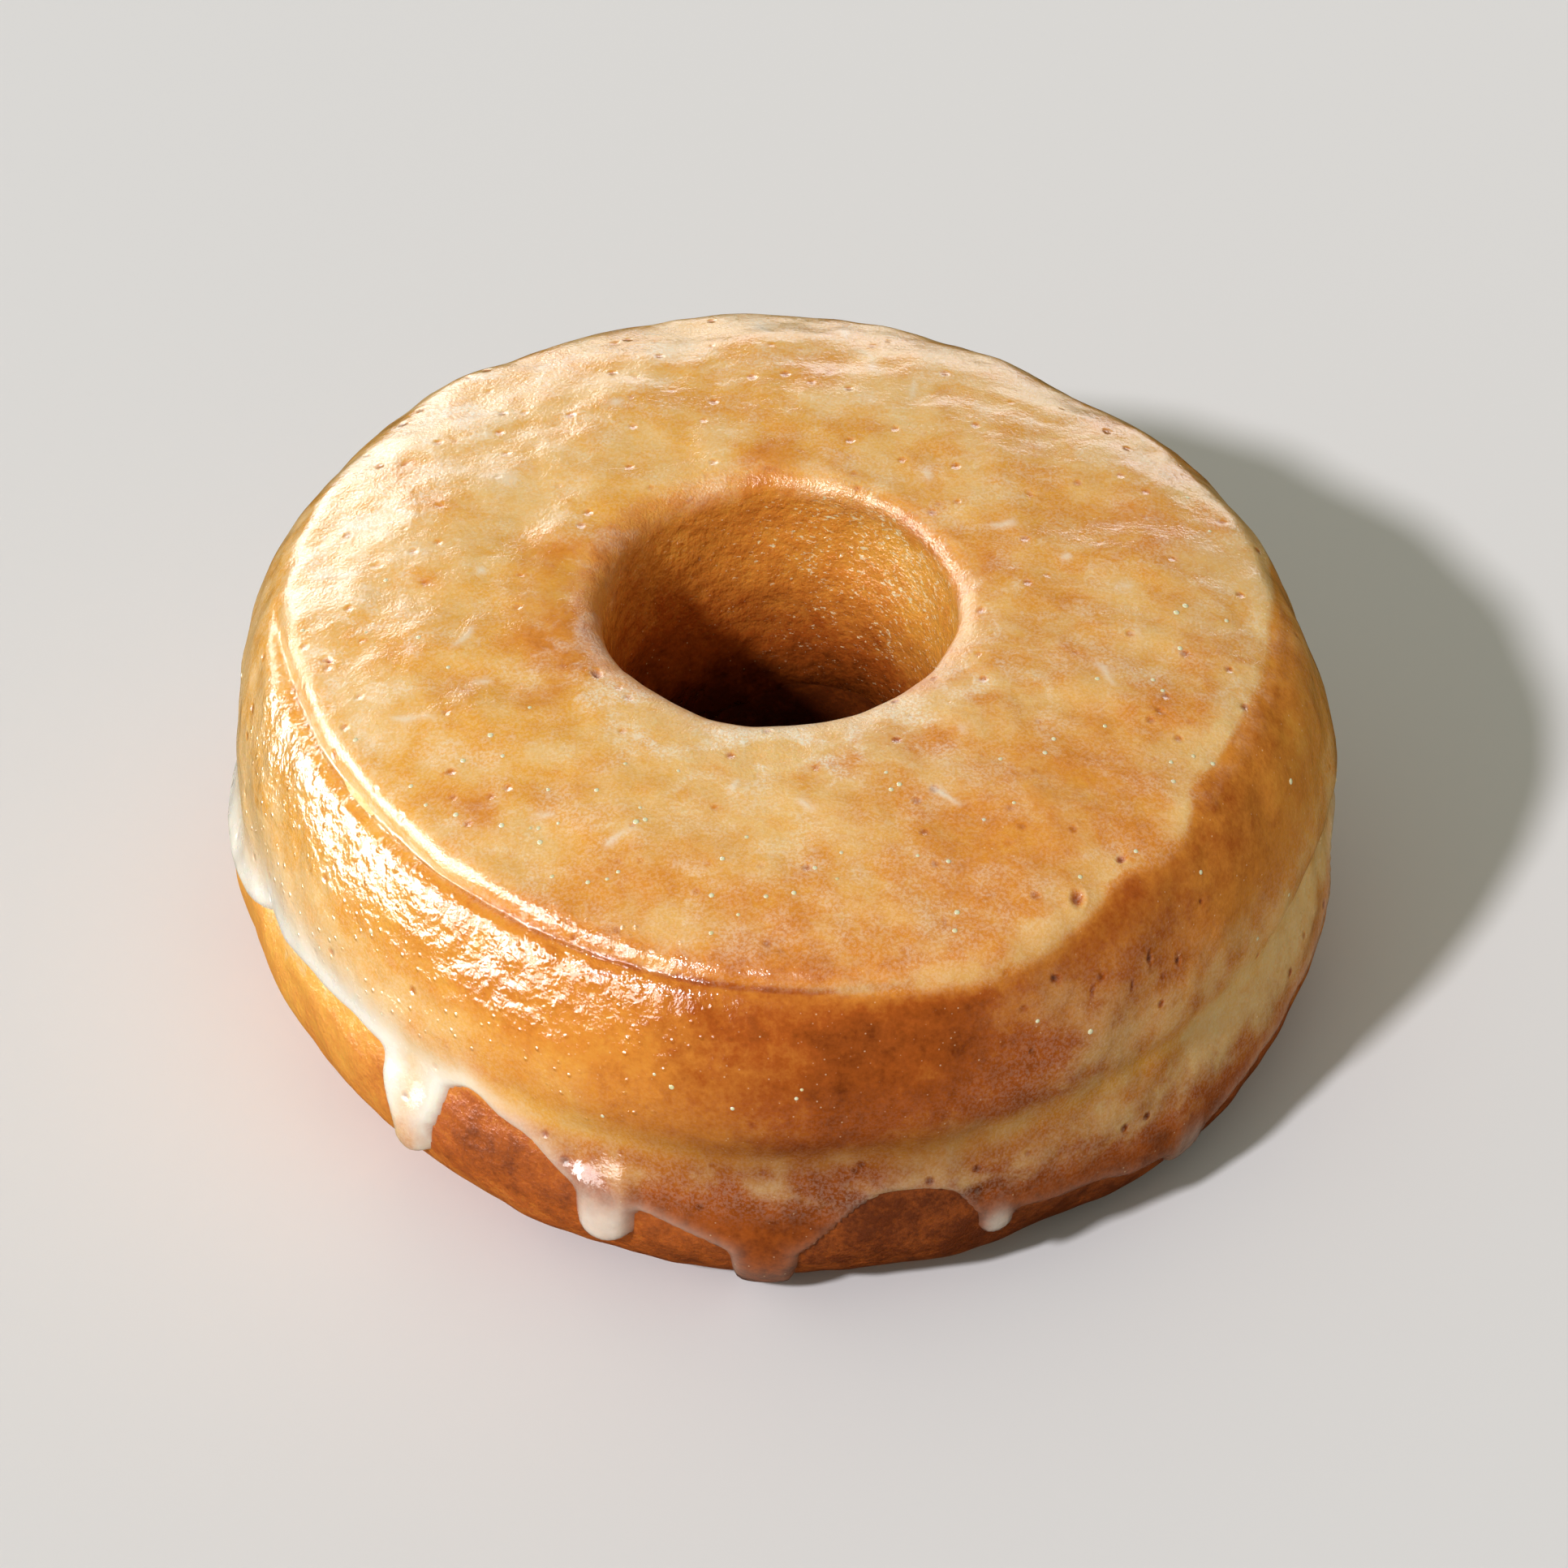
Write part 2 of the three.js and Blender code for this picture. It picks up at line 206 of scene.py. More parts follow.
# The same browning of the crown, and of the hole's wall, whose paler right and browner left are
# partly painted light and shade: turn and tone.
CROWN_TONE = (
    (0, 0.34), (40, 0.33), (90, 0.28), (140, 0.23), (180, 0.21), (210, 0.23), (240, 0.27),
    (270, 0.31), (300, 0.42), (330, 0.4),
)
HOLE_TONE = (
    (0, 0.3), (30, 0.29), (60, 0.38), (90, 0.48), (140, 0.56), (190, 0.64), (270, 0.6),
    (330, 0.4),
)
# How milky the glaze's veil is, 0 clear to 1: height, then turn and haze.
VEILS = (
    (9, ((185, 0.8), (225, 0.6), (240, 0.3), (255, 0.12), (285, 0.05), (300, 0.2),
        (330, 0.3), (0, 0.4), (60, 0.4), (120, 0.6))),
    (15, ((185, 0.9), (222, 0.85), (232, 0.5), (240, 0.35), (250, 0.45), (262, 0.45),
        (285, 0.45), (300, 0.55), (330, 0.7), (0, 0.6), (60, 0.4), (120, 0.6))),
    (21, ((185, 0.85), (210, 0.75), (228, 0.5), (240, 0.3), (262, 0.22), (285, 0.25),
        (298, 0.45), (330, 0.45), (350, 0.45), (60, 0.4), (120, 0.6))),
    (29, ((185, 0.55), (210, 0.35), (228, 0.15), (250, 0.06), (285, 0.08), (298, 0.33),
        (312, 0.34), (325, 0.14), (345, 0.2), (0, 0.35), (60, 0.4), (120, 0.55))),
    (33, ((185, 0.5), (225, 0.2), (250, 0.06), (285, 0.08), (298, 0.26), (306, 0.15),
        (318, 0.15), (345, 0.1), (0, 0.3), (60, 0.5), (120, 0.6))),
)
# Milkiness of the thick lower edge by turn, and how far up it reaches in millimetres.
EDGE_MILK = (
    (10, 0.35), (60, 0.5), (110, 0.75), (150, 0.9), (175, 0.95), (190, 1), (218, 1),
    (230, 0.85), (236, 0.5), (240, 0.45), (246, 0.35), (252, 0.3), (262, 0.25), (272, 0.1),
    (290, 0.1), (310, 0.12), (335, 0.25), (350, 0.3),
)
EDGE_REACH = (
    (0, 1.5), (60, 2), (120, 3), (180, 4), (205, 3.6), (228, 3), (240, 1.8), (256, 0.8),
    (290, 0.8), (330, 1),
)
# Where the milky cap of the crown ends: turn and radius, or past it on the side where the
# radius is over that of the crease.
CAP_EDGE = (
    (0, 39.9), (10, 41.2), (20, 43), (34, 45.2), (60, 46), (160, 46), (176, 45), (184, 42.2),
    (210, 41.6), (250, 41.4), (272, 41.5), (282, 42), (292, 42.5), (300, 42.2), (306, 41.6),
    (313, 40.4), (318, 41.4), (323, 41.2), (329, 39.4), (338, 39.2), (350, 39.7),
)

# Where the milky crown gives way to the clear wall of the hole: turn and place in the section.
HOLE_EDGE = (
    (0, 17.5), (10, 17.4), (25, 17.5), (55, 17.65), (83, 17.5), (92, 17.3), (99, 17.15),
    (104, 17.3), (130, 17.5), (155, 17.6), (165, 17.85), (185, 17.75), (205, 17.4),
    (335, 17.3), (353, 17.4),
)


# -------- the ring's shape


def smooth(low, high, value):
    """0 below low, 1 above high and a soft step between."""
    share = np.clip((value - low) / (high - low), 0, 1)
    return share * share * (3 - 2 * share)


def away(turn, at):
    """Degrees from one turn to another, -180 to 180."""
    return (turn - at + 180) % 360 - 180


def between(start, full, wane, end, value):
    """0 outside start and end, 1 from full to wane, with soft steps."""
    return smooth(start, full, value) * (1 - smooth(wane, end, value))


def hump(distance, width):
    """1 at no distance, falling to 0 past the width."""
    return np.exp(-((distance / width) ** 2))


def bump(turn, at, width):
    """1 at a stated turn, falling to 0 away from it."""
    return hump(away(turn, at), width)


def waves(turn, *lobes):
    """Sum of cosines round the ring: count, height and the turn of a crest."""
    return sum(h * np.cos(np.radians(n * (turn - crest))) for n, h, crest in lobes)


def round_ring(turn, stops):
    """A smooth line through (turn, value) stops that closes on itself round the ring."""
    at, value = np.array(sorted(stops), float).T
    at = np.concatenate([at[-2:] - 360, at, at[:2] + 360])
    value = np.concatenate([value[-2:], value, value[:2]])
    slope = np.gradient(value, at)
    turn = (turn - at[1]) % 360 + at[1]
    i = np.clip(np.searchsorted(at, turn, "right") - 1, 0, len(at) - 2)
    span = at[i + 1] - at[i]
    t = (turn - at[i]) / span
    return (
        value[i] * (1 + 2 * t) * (1 - t) ** 2
        + slope[i] * span * t * (1 - t) ** 2
        + value[i + 1] * t * t * (3 - 2 * t)
        + slope[i + 1] * span * t * t * (t - 1)
    )


def by_turn(turn, stops):
    """Straight lines between (turn, value) stops round the ring."""
    at, value = np.array(stops, float).T
    return np.interp(turn, at, value, period=360)


def by_height(turn, height, bands):
    """Values of (height, stops) bands, with soft steps from one band to the next."""
    heights = np.array([band[0] for band in bands], float)
    rows = np.array([by_turn(turn, band[1]) for band in bands])
    i = np.clip(np.searchsorted(heights, height) - 1, 0, len(bands) - 2)
    t = smooth(0, 1, (height - heights[i]) / (heights[i + 1] - heights[i]))
    n = np.arange(len(turn))
    return rows[i, n] * (1 - t) + rows[i + 1, n] * t


def crease_strength(turn):
    """1 along the crease at the left front and 0 where the crown has none."""
    fade = CREASE_FADE
    return between(CREASE_FROM, CREASE_FROM + fade, CREASE_TO - fade, CREASE_TO, turn)


def section_keys(turn):
    """Key points of the section at each turn, as arrays of radii and of heights."""
    radius = np.repeat(SECTION[:, :1], len(turn), 1)
    height = np.repeat(SECTION[:, 1:], len(turn), 1)
    sway = waves(turn, BELT_SWAY)
    radius[BELT] -= BELT_PINCH + sum(d * bump(turn, at, w) for at, w, d in BELT_FOLDS)
    height[BELT] += sway
    height[LOWER_SIDE] += sway / 2
    height[UPPER_SIDE] += sway / 2
    strength = crease_strength(turn) * (1 - SHALLOWER * smooth(SHALLOW_FROM, SHALLOW_TO, turn))
    radius[CREASE] -= CREASE_DEPTH * strength
    height[CREASE] -= CREASE_DEPTH * strength
    height[RIDGE] += RIDGE_HEIGHT * strength
    height[CROWN_EDGE] += RIDGE_HEIGHT * strength * 0.6
    overhang = OVERHANG * bump(turn, OVERHANG_AT, OVERHANG_WIDTH)
    radius[LIP] -= overhang
    height[LIP] += overhang * 0.45
    radius[RIM] -= overhang * 0.7
    return radius, height


def through_keys(keys, place):
    """Catmull-Rom curve through the key points at each place, 1 to a key point."""
    i = np.floor(place).astype(int) % len(keys)
    t = place - np.floor(place)
    n = np.arange(len(place))
    a, b, c, d = (keys[(i + k) % len(keys), n] for k in (-1, 0, 1, 2))
    return 0.5 * (
        2 * b
        + (c - a) * t
        + (2 * a - 5 * b + 4 * c - d) * t**2
        + (3 * b - a - 3 * c + d) * t**3
    )


def ring_points(turn, place, sizes):
    """Points of the dough's surface in millimetres, one row each."""
    radii, heights = section_keys(turn)
    r = through_keys(radii, place)
    z = through_keys(heights, place)
    outer = smooth(LOBE_INNER, LOBE_OUTER, r)
    swell = waves(turn, *LOBES) + sum(
        by * bump(turn, at, width) * hump(z - high, tall)
        for at, high, width, tall, by in SWELLS
    )
    inner = 1 - smooth(SECTION_HOLE, LOBE_INNER, r)
    raised = smooth(CROWN_WAVE_FROM, CROWN_WAVE_FULL, z)
    r = r + outer * swell + inner * waves(turn, HOLE_WAVE)
    z = np.maximum(z, 0) + raised * waves(turn, *CROWN_WAVES)
    hole = sizes.hole_radius / MM
    wall = (sizes.outer_radius / MM - hole) / (SECTION_OUTER - SECTION_HOLE)
    r = hole + (r - SECTION_HOLE) * wall
    x = r * np.cos(np.radians(turn)) + HOLE_SHIFT[0] * inner + RING_SHIFT[0]
    y = r * np.sin(np.radians(turn)) + HOLE_SHIFT[1] * inner + RING_SHIFT[1]
    return np.stack([x, y, z * sizes.height / MM / SECTION_TOP], 1)


def ring_normals(turn, place, sizes):
    """Outward normals of the dough's surface."""
    d_turn, d_place = 0.25, 0.04
    along = ring_points(turn + d_turn, place, sizes) - ring_points(turn - d_turn, place, sizes)
    across = ring_points(turn, place + d_place, sizes)
    across = across - ring_points(turn, place - d_place, sizes)
    normal = np.cross(along, across)
    return normal / np.maximum(np.linalg.norm(normal, axis=1, keepdims=True), 1e-9)


def place_on_crown(radius):
    """Place along the section, from the crease inwards, of a radius on the crown."""
    stretch = np.arange(CREASE, LIP + 1)
    return np.interp(-radius, -SECTION[stretch, 0], stretch)


def place_on_side(height):
    """Place along the section, from the heel to the crease, of a height on the side."""
    stretch = np.arange(HEEL, CREASE + 1)
    return np.interp(height, SECTION[stretch, 1], stretch)


def section_lengths(places):
    """Length of the section from its first key point to each place."""
    radius = through_keys(np.repeat(SECTION[:, :1], len(places), 1), places)
    height = through_keys(np.repeat(SECTION[:, 1:], len(places), 1), places)
    steps = np.hypot(np.diff(radius), np.diff(height))
    return np.concatenate([[0], np.cumsum(steps)])


def spread(low, high, weight, samples=2000):
    """Even shares 0 to 1 turned into places from low to high, closer where weight is high."""
    at = np.linspace(low, high, samples)
    density = weight(at)
    total = np.concatenate([[0], np.cumsum((density[1:] + density[:-1]) / 2)])
    return lambda share: np.interp(share, total / total[-1], at)


def section_spread(low, high, close):
    """The same along the section, where close(place) is how many rows to a millimetre."""
    at = np.linspace(low, high, 2000)
    lengths = section_lengths(at)
    slope = np.gradient(lengths, at)
    return spread(low, high, lambda p: np.interp(p, at, slope) * close(p))


def turn_spread():
    """Turns round the ring, closer on the side that faces the front."""
    return spread(0, 360, lambda turn: 1 + 0.7 * between(160, 185, 335, 355, turn))


# -------- glaze on the ring


def drip_reach(turn, height, drip):
    """Millimetres inside one drip, below zero outside it."""
    at, low, bead, neck, _, _ = drip
    across = np.abs(away(turn, at)) * math.radians(1) * SECTION_OUTER
    middle = low + bead / 2
    half = (bead + (neck - bead) * smooth(middle, middle + bead * 1.4, height)) / 2
    under = bead / 2 - np.hypot(across, height - middle)
    return np.where(height < middle, under, half - across)


def soft_most(a, b, soft):
    """The larger of two values, rounded where they meet."""
    return (a + b + np.sqrt((a - b) ** 2 + soft**2)) / 2


def glaze_inside(turn, place, height):
    """Millimetres from the glaze's edge, below zero on bare dough."""
    ragged = 0.2 * np.sin(np.radians(turn * 23)) + 0.15 * np.sin(np.radians(turn * 41 + 50))
    outer = height - round_ring(turn, GLAZE_EDGE) + ragged
    for drip in DRIPS:
        outer = soft_most(outer, drip_reach(turn, height, drip), 0.9)
    hole_edge = HOLE_GLAZE_END + waves(turn, *HOLE_GLAZE_WAVES)
    return np.where(place < CROWN_TOP, outer - 0.2, height - hole_edge)


def glaze_depth(turn, place, height, sizes):
    """Thickness of the glaze over the dough; it dips under the surface past its edge."""
    inside = glaze_inside(turn, place, height)
    outside = place < CROWN_TOP
    edge = sizes.glaze_edge / MM * (0.5 + 0.5 * by_turn(turn, EDGE_MILK))
    near_edge = np.exp(-((np.maximum(inside, 0) / by_turn(turn, EDGE_REACH)) ** 1.5))
    full = sizes.glaze_film / MM + edge * near_edge * outside
    roll = np.full(len(turn), 0.9)
    for drip in DRIPS:
        _, low, bead, _, thick, _ = drip
        reach = drip_reach(turn, height, drip)
        inner = smooth(-0.6, 1.0, reach) * outside
        middle = low + bead / 2
        run = 0.4 + 0.6 * hump(height - middle, bead)
        fade = 1 - smooth(middle + bead * 0.6, middle + 1.7 * bead, height)
        full = full + (thick * sizes.drips - edge * 0.7) * run * inner * fade
        roll = roll + inner * fade * (bead / 2 * 0.9 - 0.9)
    share = np.clip(inside / roll, 0, 1)
    rounded = np.sqrt(np.maximum(1 - (1 - share) ** 2, 0))
    full = full * (1 - 0.8 * crease_strength(turn) * hump(place - CREASE, 0.4))
    sunk = -EDGE_SUNK * (1 - np.exp(np.minimum(inside, 0) / 0.5))
    return np.where(inside > 0, full * rounded, sunk), inside


def clouds(points, size, seed):
    """Smooth random swells, about -1 to 1, of that many millimetres across."""
    draw = np.random.default_rng(seed)
    total = np.zeros(len(points))
    for _ in range(CLOUD_WAVES):
        towards = draw.normal(size=3)
        towards *= 2 * math.pi / size * draw.uniform(0.6, 1.5) / np.linalg.norm(towards)
        total += np.sin(points @ towards + draw.uniform(0, 2 * math.pi))
    return total / CLOUD_SPREAD


def wandered(points, size, seeds, by):
    """The points moved about at random, by up to about that many millimetres."""
    return points + np.stack([clouds(points, size, seed) for seed in seeds], 1) * by


def lumps(points, height):
    """Unevenness that dough and glaze share, in millimetres; none on the table."""
    return (clouds(points, 11, 1) * 0.2 + clouds(points, 4, 2) * 0.07) * smooth(0, 2, height)


def spots_on_crown(turns, radii, sizes):
    """Points of the crown's surface at those turns and radii."""
    places = np.array([place_on_crown(r) for r in radii])
    return ring_points(np.array(turns, float), places, sizes)


def pit_places(sizes):
    """Middle of each pit on the surface, its radius and its depth's share of that."""
    turns, _, radii, shares = np.array(CROWN_PITS + SIDE_PITS, float).T
    places = np.array(
        [place_on_crown(p[1]) for p in CROWN_PITS] + [place_on_side(p[1]) for p in SIDE_PITS]
    )
    return ring_points(turns, places, sizes), radii, shares


def pit_shape(points, centres, radii, shares):
    """Depth of the pits at each point, and a mask of their insides."""
    depth = np.zeros(len(points))
    mask = np.zeros(len(points))
    for n, (centre, radius, share) in enumerate(zip(centres, radii, shares)):
        offset = points - centre
        near = np.abs(offset).max(1) < radius * 3
        offset = offset[near]
        ragged = 1 + 0.18 * np.sin(np.arctan2(offset[:, 1], offset[:, 0]) * 2 + n)
        r = np.linalg.norm(offset, axis=1) / radius * ragged
        bowl = np.exp(-((r / 0.7) ** 2.6))
        rim = hump(r - 1.3, 0.35)
        depth[near] += radius * share * (bowl - 0.15 * rim)
        mask[near] = np.maximum(mask[near], bowl * share * 2)
    return depth, mask


def streak_ends(sizes):
    """Both ends of each dried streak on the surface, and its width."""
    ends = np.array(STREAKS, float)
    first = spots_on_crown(ends[:, 0], ends[:, 1], sizes)
    last = spots_on_crown(ends[:, 2], ends[:, 3], sizes)
    return first, last, ends[:, 4]


def line_gap(points, first, last):
    """Distance from each point to a line between two ends, and how far along it is."""
    along = last - first
    share = np.clip((points - first) @ along / (along @ along), 0, 1)
    return np.linalg.norm(points - first - share[:, None] * along, axis=1), share


def streak_shape(points, sizes):
    """How much each point is on a dried streak, 0 to 1."""
    mask = np.zeros(len(points))
    bent = wandered(points, 3.5, (31, 32, 33), 0.4)
    for first, last, width in zip(*streak_ends(sizes)):
        gap, share = line_gap(bent, first, last)
        taper = 1 - (2 * share - 1) ** 2
        mask = np.maximum(mask, hump(gap / width, 1.3) * taper)
    return mask


# -------- masks of the surface


def plain_radius(turn, points):
    """Radius of each point without the ring's lobes."""
    radius = np.hypot(points[:, 0] - RING_SHIFT[0], points[:, 1] - RING_SHIFT[1])
    return radius - waves(turn, *LOBES) * smooth(LOBE_INNER, LOBE_OUTER, radius)


def cap_share(turn, place, radius):
    """1 on the milky cap of the crown and 0 past its edge."""
    reach = radius - by_turn(turn, CAP_EDGE)
    reach = np.where(place < SHOULDER, reach + 2.5, reach)
    return 1 - smooth(-0.6, 0.7, reach)


def in_hole(turn, place):
    """0 on the crown and 1 below the rim of the hole."""
    ragged = waves(turn, (11, 0.05, 20), (29, 0.03, 0))
    return smooth(-0.2, 0.2, place + ragged - by_turn(turn, HOLE_EDGE))


def frost_and_sheen_share(turn, place, radius):
    """How much dried white sugar and painted sheen lie on the crown's glaze, 0 to 1: some
    everywhere, and more by the front of the hole and at the back left, where a reflection is
    painted.
    """
    front = bump(turn, 262, 60) * hump(radius - 18.5, 3)
    back = bump(turn, 145, 46) * smooth(27, 39, radius)
    right = bump(turn, 20, 50) * smooth(30, 40, radius)
    crown = 0.25 + 0.75 * front + 0.75 * back + 0.05 * right
    return crown * smooth(CREASE, CREASE + 2, place) * (1 - in_hole(turn, place))


def flank(turn, place):
    """1 on the slope from the crease up to the ridge at the front."""
    front = crease_strength(turn) * smooth(226, 242, turn)
    return front * hump(place - CREASE - 0.85, 0.75)


def shaded_rim(turn, place):
    """1 on the rim of the hole at the left, which turns away from the light; the dough there is
    painted browner and the glaze clearer, as painted shade.
    """
    return bump(turn, 165, 65) * smooth(LIP - 1.1, LIP - 0.1, place)


def sunny(turn, place):
    """1 where the crown's edges turn towards the light and would look too pale; there the dough
    is painted browner and the glaze clearer against that light.
    """
    rim = 0.6 * bump(turn, 35, 75) * smooth(LIP - 0.4, LIP + 0.3, place)
    return rim + 0.7 * flank(turn, place)


def crown_spots(points, sizes):
    """How clear the crown's glaze is over browner dough, from 0 up."""
    spots = np.array(SPOTS, float)
    centres = spots_on_crown(spots[:, 0], spots[:, 1], sizes)
    total = np.zeros(len(points))
    bent = wandered(points, 5, (11, 12, 13), 0.9)
    for centre, (_, _, size, strength) in zip(centres, spots):
        total += strength * hump(np.linalg.norm(bent - centre, axis=1), size)
    return total


def dough_tone(turn, place, points, sizes):
    """How brown the dough is, 0 cream to 1 dark brown, with painted shade in it: down the hole,
    on the rim turned from the light and at the front, and darker where edges turn towards the
    light.
    """
    height = points[:, 2] - lift(turn, points)
    side = by_height(turn, height, TONES)
    radius = plain_radius(turn, points)
    front = bump(turn, 292, 60) * smooth(28, 40, radius)
    crown = by_turn(turn, CROWN_TONE) + 0.3 * crown_spots(points, sizes) + 0.1 * front
    crown = np.minimum(crown, 0.46)
    # Painted shade on the rim turned from the light, and painted darkening where edges turn
    # towards it.
    crown = crown + 0.25 * shaded_rim(turn, place) + 0.2 * sunny(turn, place)
    cap = cap_share(turn, place, radius)
    top = side + (crown - side) * np.where(place < CROWN_TOP, cap, 1)
    line = (0.16 + 0.12 * smooth(222, 236, turn)) * hump(place - CREASE, 0.25)
    top = top + crease_strength(turn) * line
    # The hole's wall is browner towards its bottom: painted shade.
    hole = by_turn(turn, HOLE_TONE) + 0.6 * (1 - smooth(12, 34, height))
    return np.clip(top + (hole - top) * in_hole(turn, place), 0, 1)


def shading(turn, place, height):
    """Painted shade, 0 to 1: on the side that turns from the light, and down the hole, darker
    towards its bottom.
    """
    side = by_height(turn, height, SHADES) * (1 - smooth(CREASE - 1, CREASE + 1, place))
    return np.where(place < CROWN_TOP, side, 1 - smooth(12, 29, height))


def lift(turn, points):
    """Height by which the proof line sways, which the browning follows."""
    height = points[:, 2]
    return (waves(turn, BELT_SWAY) - 0.6) * between(10, 16, 20, 27, height)


def veil(turn, place, points, sizes):
    """How milky the thin glaze is, 0 to 1."""
    side = by_height(turn, points[:, 2], VEILS) * (place < CREASE + 2)
    radius = plain_radius(turn, points)
    cap = cap_share(turn, place, radius)
    # Milkier by the front of the hole's rim, partly as painted sheen.
    rim = hump(radius - 18, 2.6) * (0.4 * bump(turn, 268, 50) - 0.05)
    clear = 0.35 * np.minimum(crown_spots(points, sizes), 1)
    lining = 0.18 * bump(turn, 332, 38) * hump(by_turn(turn, CAP_EDGE) - radius - 0.9, 1.1)
    # Clearer glaze on the rim turned from the light as painted shade, and where edges turn
    # towards the light to darken them.
    lining = lining - 0.3 * shaded_rim(turn, place) - 0.25 * sunny(turn, place)
    lining = lining - 0.14 * bump(turn, 314, 26) * smooth(23, 28, radius)
    crown = (0.52 + rim - clear + lining) * np.where(place < CROWN_TOP, cap, 1)
    crown = crown * (1 - in_hole(turn, place))
    return np.clip(np.maximum(side * (1 - cap), crown), 0, 1)


def milkiness(turn, place, height, inside):
    """How white the glaze is along its thick lower edge and in the drips' beads, 0 to 1."""
    side = place < CREASE
    milk = by_turn(turn, EDGE_MILK) * side * smooth(-0.5, 0.4, inside)
    milk = milk * np.exp(-((np.maximum(inside, 0) / by_turn(turn, EDGE_REACH)) ** 1.6))
    for drip in DRIPS:
        _, foot, bead, _, _, white = drip
        reach = smooth(0, 1.2, drip_reach(turn, height, drip)) * side
        drop = hump(np.maximum(height - foot - bead * 0.6, 0), bead * 0.5)
        milk = milk + (white - milk) * reach * drop
    return milk


def wrinkles(turn, place, points):
    """How wrinkled the dried glaze is high on the left side, 0 to 1."""
    edge = points[:, 2] + clouds(points, 5, 21) * 1.3
    upper = 0.7 * smooth(25, 28.5, edge) + 0.3 * smooth(16, 21, edge)
    upper = between(180, 192, 250, 268, turn) * upper
    return upper * np.where(place < CREASE, 1, flank(turn, place))


def grains(turn, place, hole):
    """How grainy the rim of the hole and the ridge beside the crease are, 0 to 1."""
    rim = smooth(LIP - 0.9, LIP - 0.2, place) * (1 - hole) * (1 - 0.9 * bump(turn, 45, 55))
    ridge = crease_strength(turn) * hump(place - RIDGE + 0.2, 0.3)
    return np.maximum(rim, ridge * (0.5 - 0.3 * smooth(234, 252, turn)))


def glaze_masks(turn, place, base, inside, sizes):
    """The masks that the glaze's material reads, apart from those of its pits and streaks."""
    height = base[:, 2]
    hole = in_hole(turn, place)
    wet = np.maximum(hole, smooth(LIP - 0.3, LIP + 0.1, place) * bump(turn, 48, 50))
    return {
        "tone": dough_tone(turn, place, base, sizes),
        "shade": shading(turn, place, height),
        "haze": veil(turn, place, base, sizes),
        "milk": milkiness(turn, place, height, inside),
        "frost_and_sheen": frost_and_sheen_share(turn, place, plain_radius(turn, base)),
        "wrinkle": wrinkles(turn, place, base),
        "hole": wet,
        # Where painted glints go: down the hole, most on the wall that the key light reaches.
        "glint": wet * (0.12 + bump(turn, 42, 50)) * smooth(10, 33, height),
        "grain": grains(turn, place, hole),
    }


# -------- meshes


# Radii of the plain tube and of the ring that it is bent into before its vertices move.
TUBE, RING = 1.0, 3.0


def tube_ring(rows, columns):
    """A round tube bent into a ring, whose vertices are moved to their places later."""
    bm = bmesh.new()
    bmesh.ops.create_circle(bm, segments=rows, radius=TUBE)
    upright = Matrix.Rotation(math.pi / 2, 3, "X")
    bmesh.ops.rotate(bm, verts=bm.verts, cent=(0, 0, 0), matrix=upright)
    bmesh.ops.translate(bm, verts=bm.verts, vec=(RING, 0, 0))
    bmesh.ops.spin(
        bm, geom=bm.verts[:] + bm.edges[:], cent=(0, 0, 0), axis=(0, 0, 1),
        angle=2 * math.pi, steps=columns, use_merge=True,
    )
    bmesh.ops.remove_doubles(bm, verts=bm.verts, dist=1e-6)
    bmesh.ops.recalc_face_normals(bm, faces=bm.faces)
    for face in bm.faces:
        face.smooth = True
    return bm


def tube_shares(points):
    """Shares 0 to 1 round the ring and round the tube of the plain ring's points."""
    x, y, z = points.T
    round_it = np.arctan2(y, x) / (2 * math.pi) % 1
    across = np.arctan2(z, np.hypot(x, y) - RING) / (2 * math.pi) % 1
    return round_it, across


def mesh_points(bm):
    """Places of a bmesh's vertices, one row each."""
    return np.array([v.co[:] for v in bm.verts])


def refine(bm, chosen, times):
    """Divides the edges between vertices that chosen(points) picks, that many times."""
    for _ in range(times):
        bm.verts.ensure_lookup_table()
        picked = chosen(mesh_points(bm))
        edges = [e for e in bm.edges if picked[e.verts[0].index] and picked[e.verts[1].index]]
        bmesh.ops.subdivide_edges(bm, edges=edges, cuts=1, use_grid_fill=True)
        bm.verts.index_update()


def finished(name, bm, points, masks, material):
    """Turns a bmesh into a piece at the stated points, with its masks and material."""
    mesh = bpy.data.meshes.new(name)
    bm.to_mesh(mesh)
    bm.free()
    mesh.vertices.foreach_set("co", (points * MM).astype(np.float32).ravel())
    for mask, values in masks.items():
        layer = mesh.attributes.new(mask, "FLOAT", "POINT")
        layer.data.foreach_set("value", values.astype(np.float32))
    mesh.update()
    mesh.materials.append(material)
    piece = bpy.data.objects.new(name, mesh)
    bpy.context.scene.collection.objects.link(piece)
    return piece


# -------- materials


class Wire:
    """A socket of a material's nodes. Sums and products of wires add Math nodes."""

    def __init__(self, tree, socket):
        self.tree, self.socket = tree, socket

    def math(self, operation, *values):
        """A Math node on these values or wires."""
        settings = {"operation": operation}
        return node(self.tree, "ShaderNodeMath", settings, dict(enumerate(values)))

    def __add__(self, other):
        return self.math("ADD", self, other)

    def __sub__(self, other):
        return self.math("SUBTRACT", self, other)

    def __mul__(self, other):
        return self.math("MULTIPLY", self, other)

    __radd__, __rmul__ = __add__, __mul__

    def __rsub__(self, other):
        return self.math("SUBTRACT", other, self)

    def clamped(self, low=0.0, high=1.0):
        """The wire, held between two values."""
        return node(self.tree, "ShaderNodeClamp", {}, {0: self, 1: low, 2: high})

    def stepped(self, low, high):
        """0 below low, 1 above high and a soft step between."""
        settings = {"interpolation_type": "SMOOTHSTEP", "clamp": True}
        ends = {"Value": self, "From Min": low, "From Max": high}
        return node(self.tree, "ShaderNodeMapRange", settings, ends)


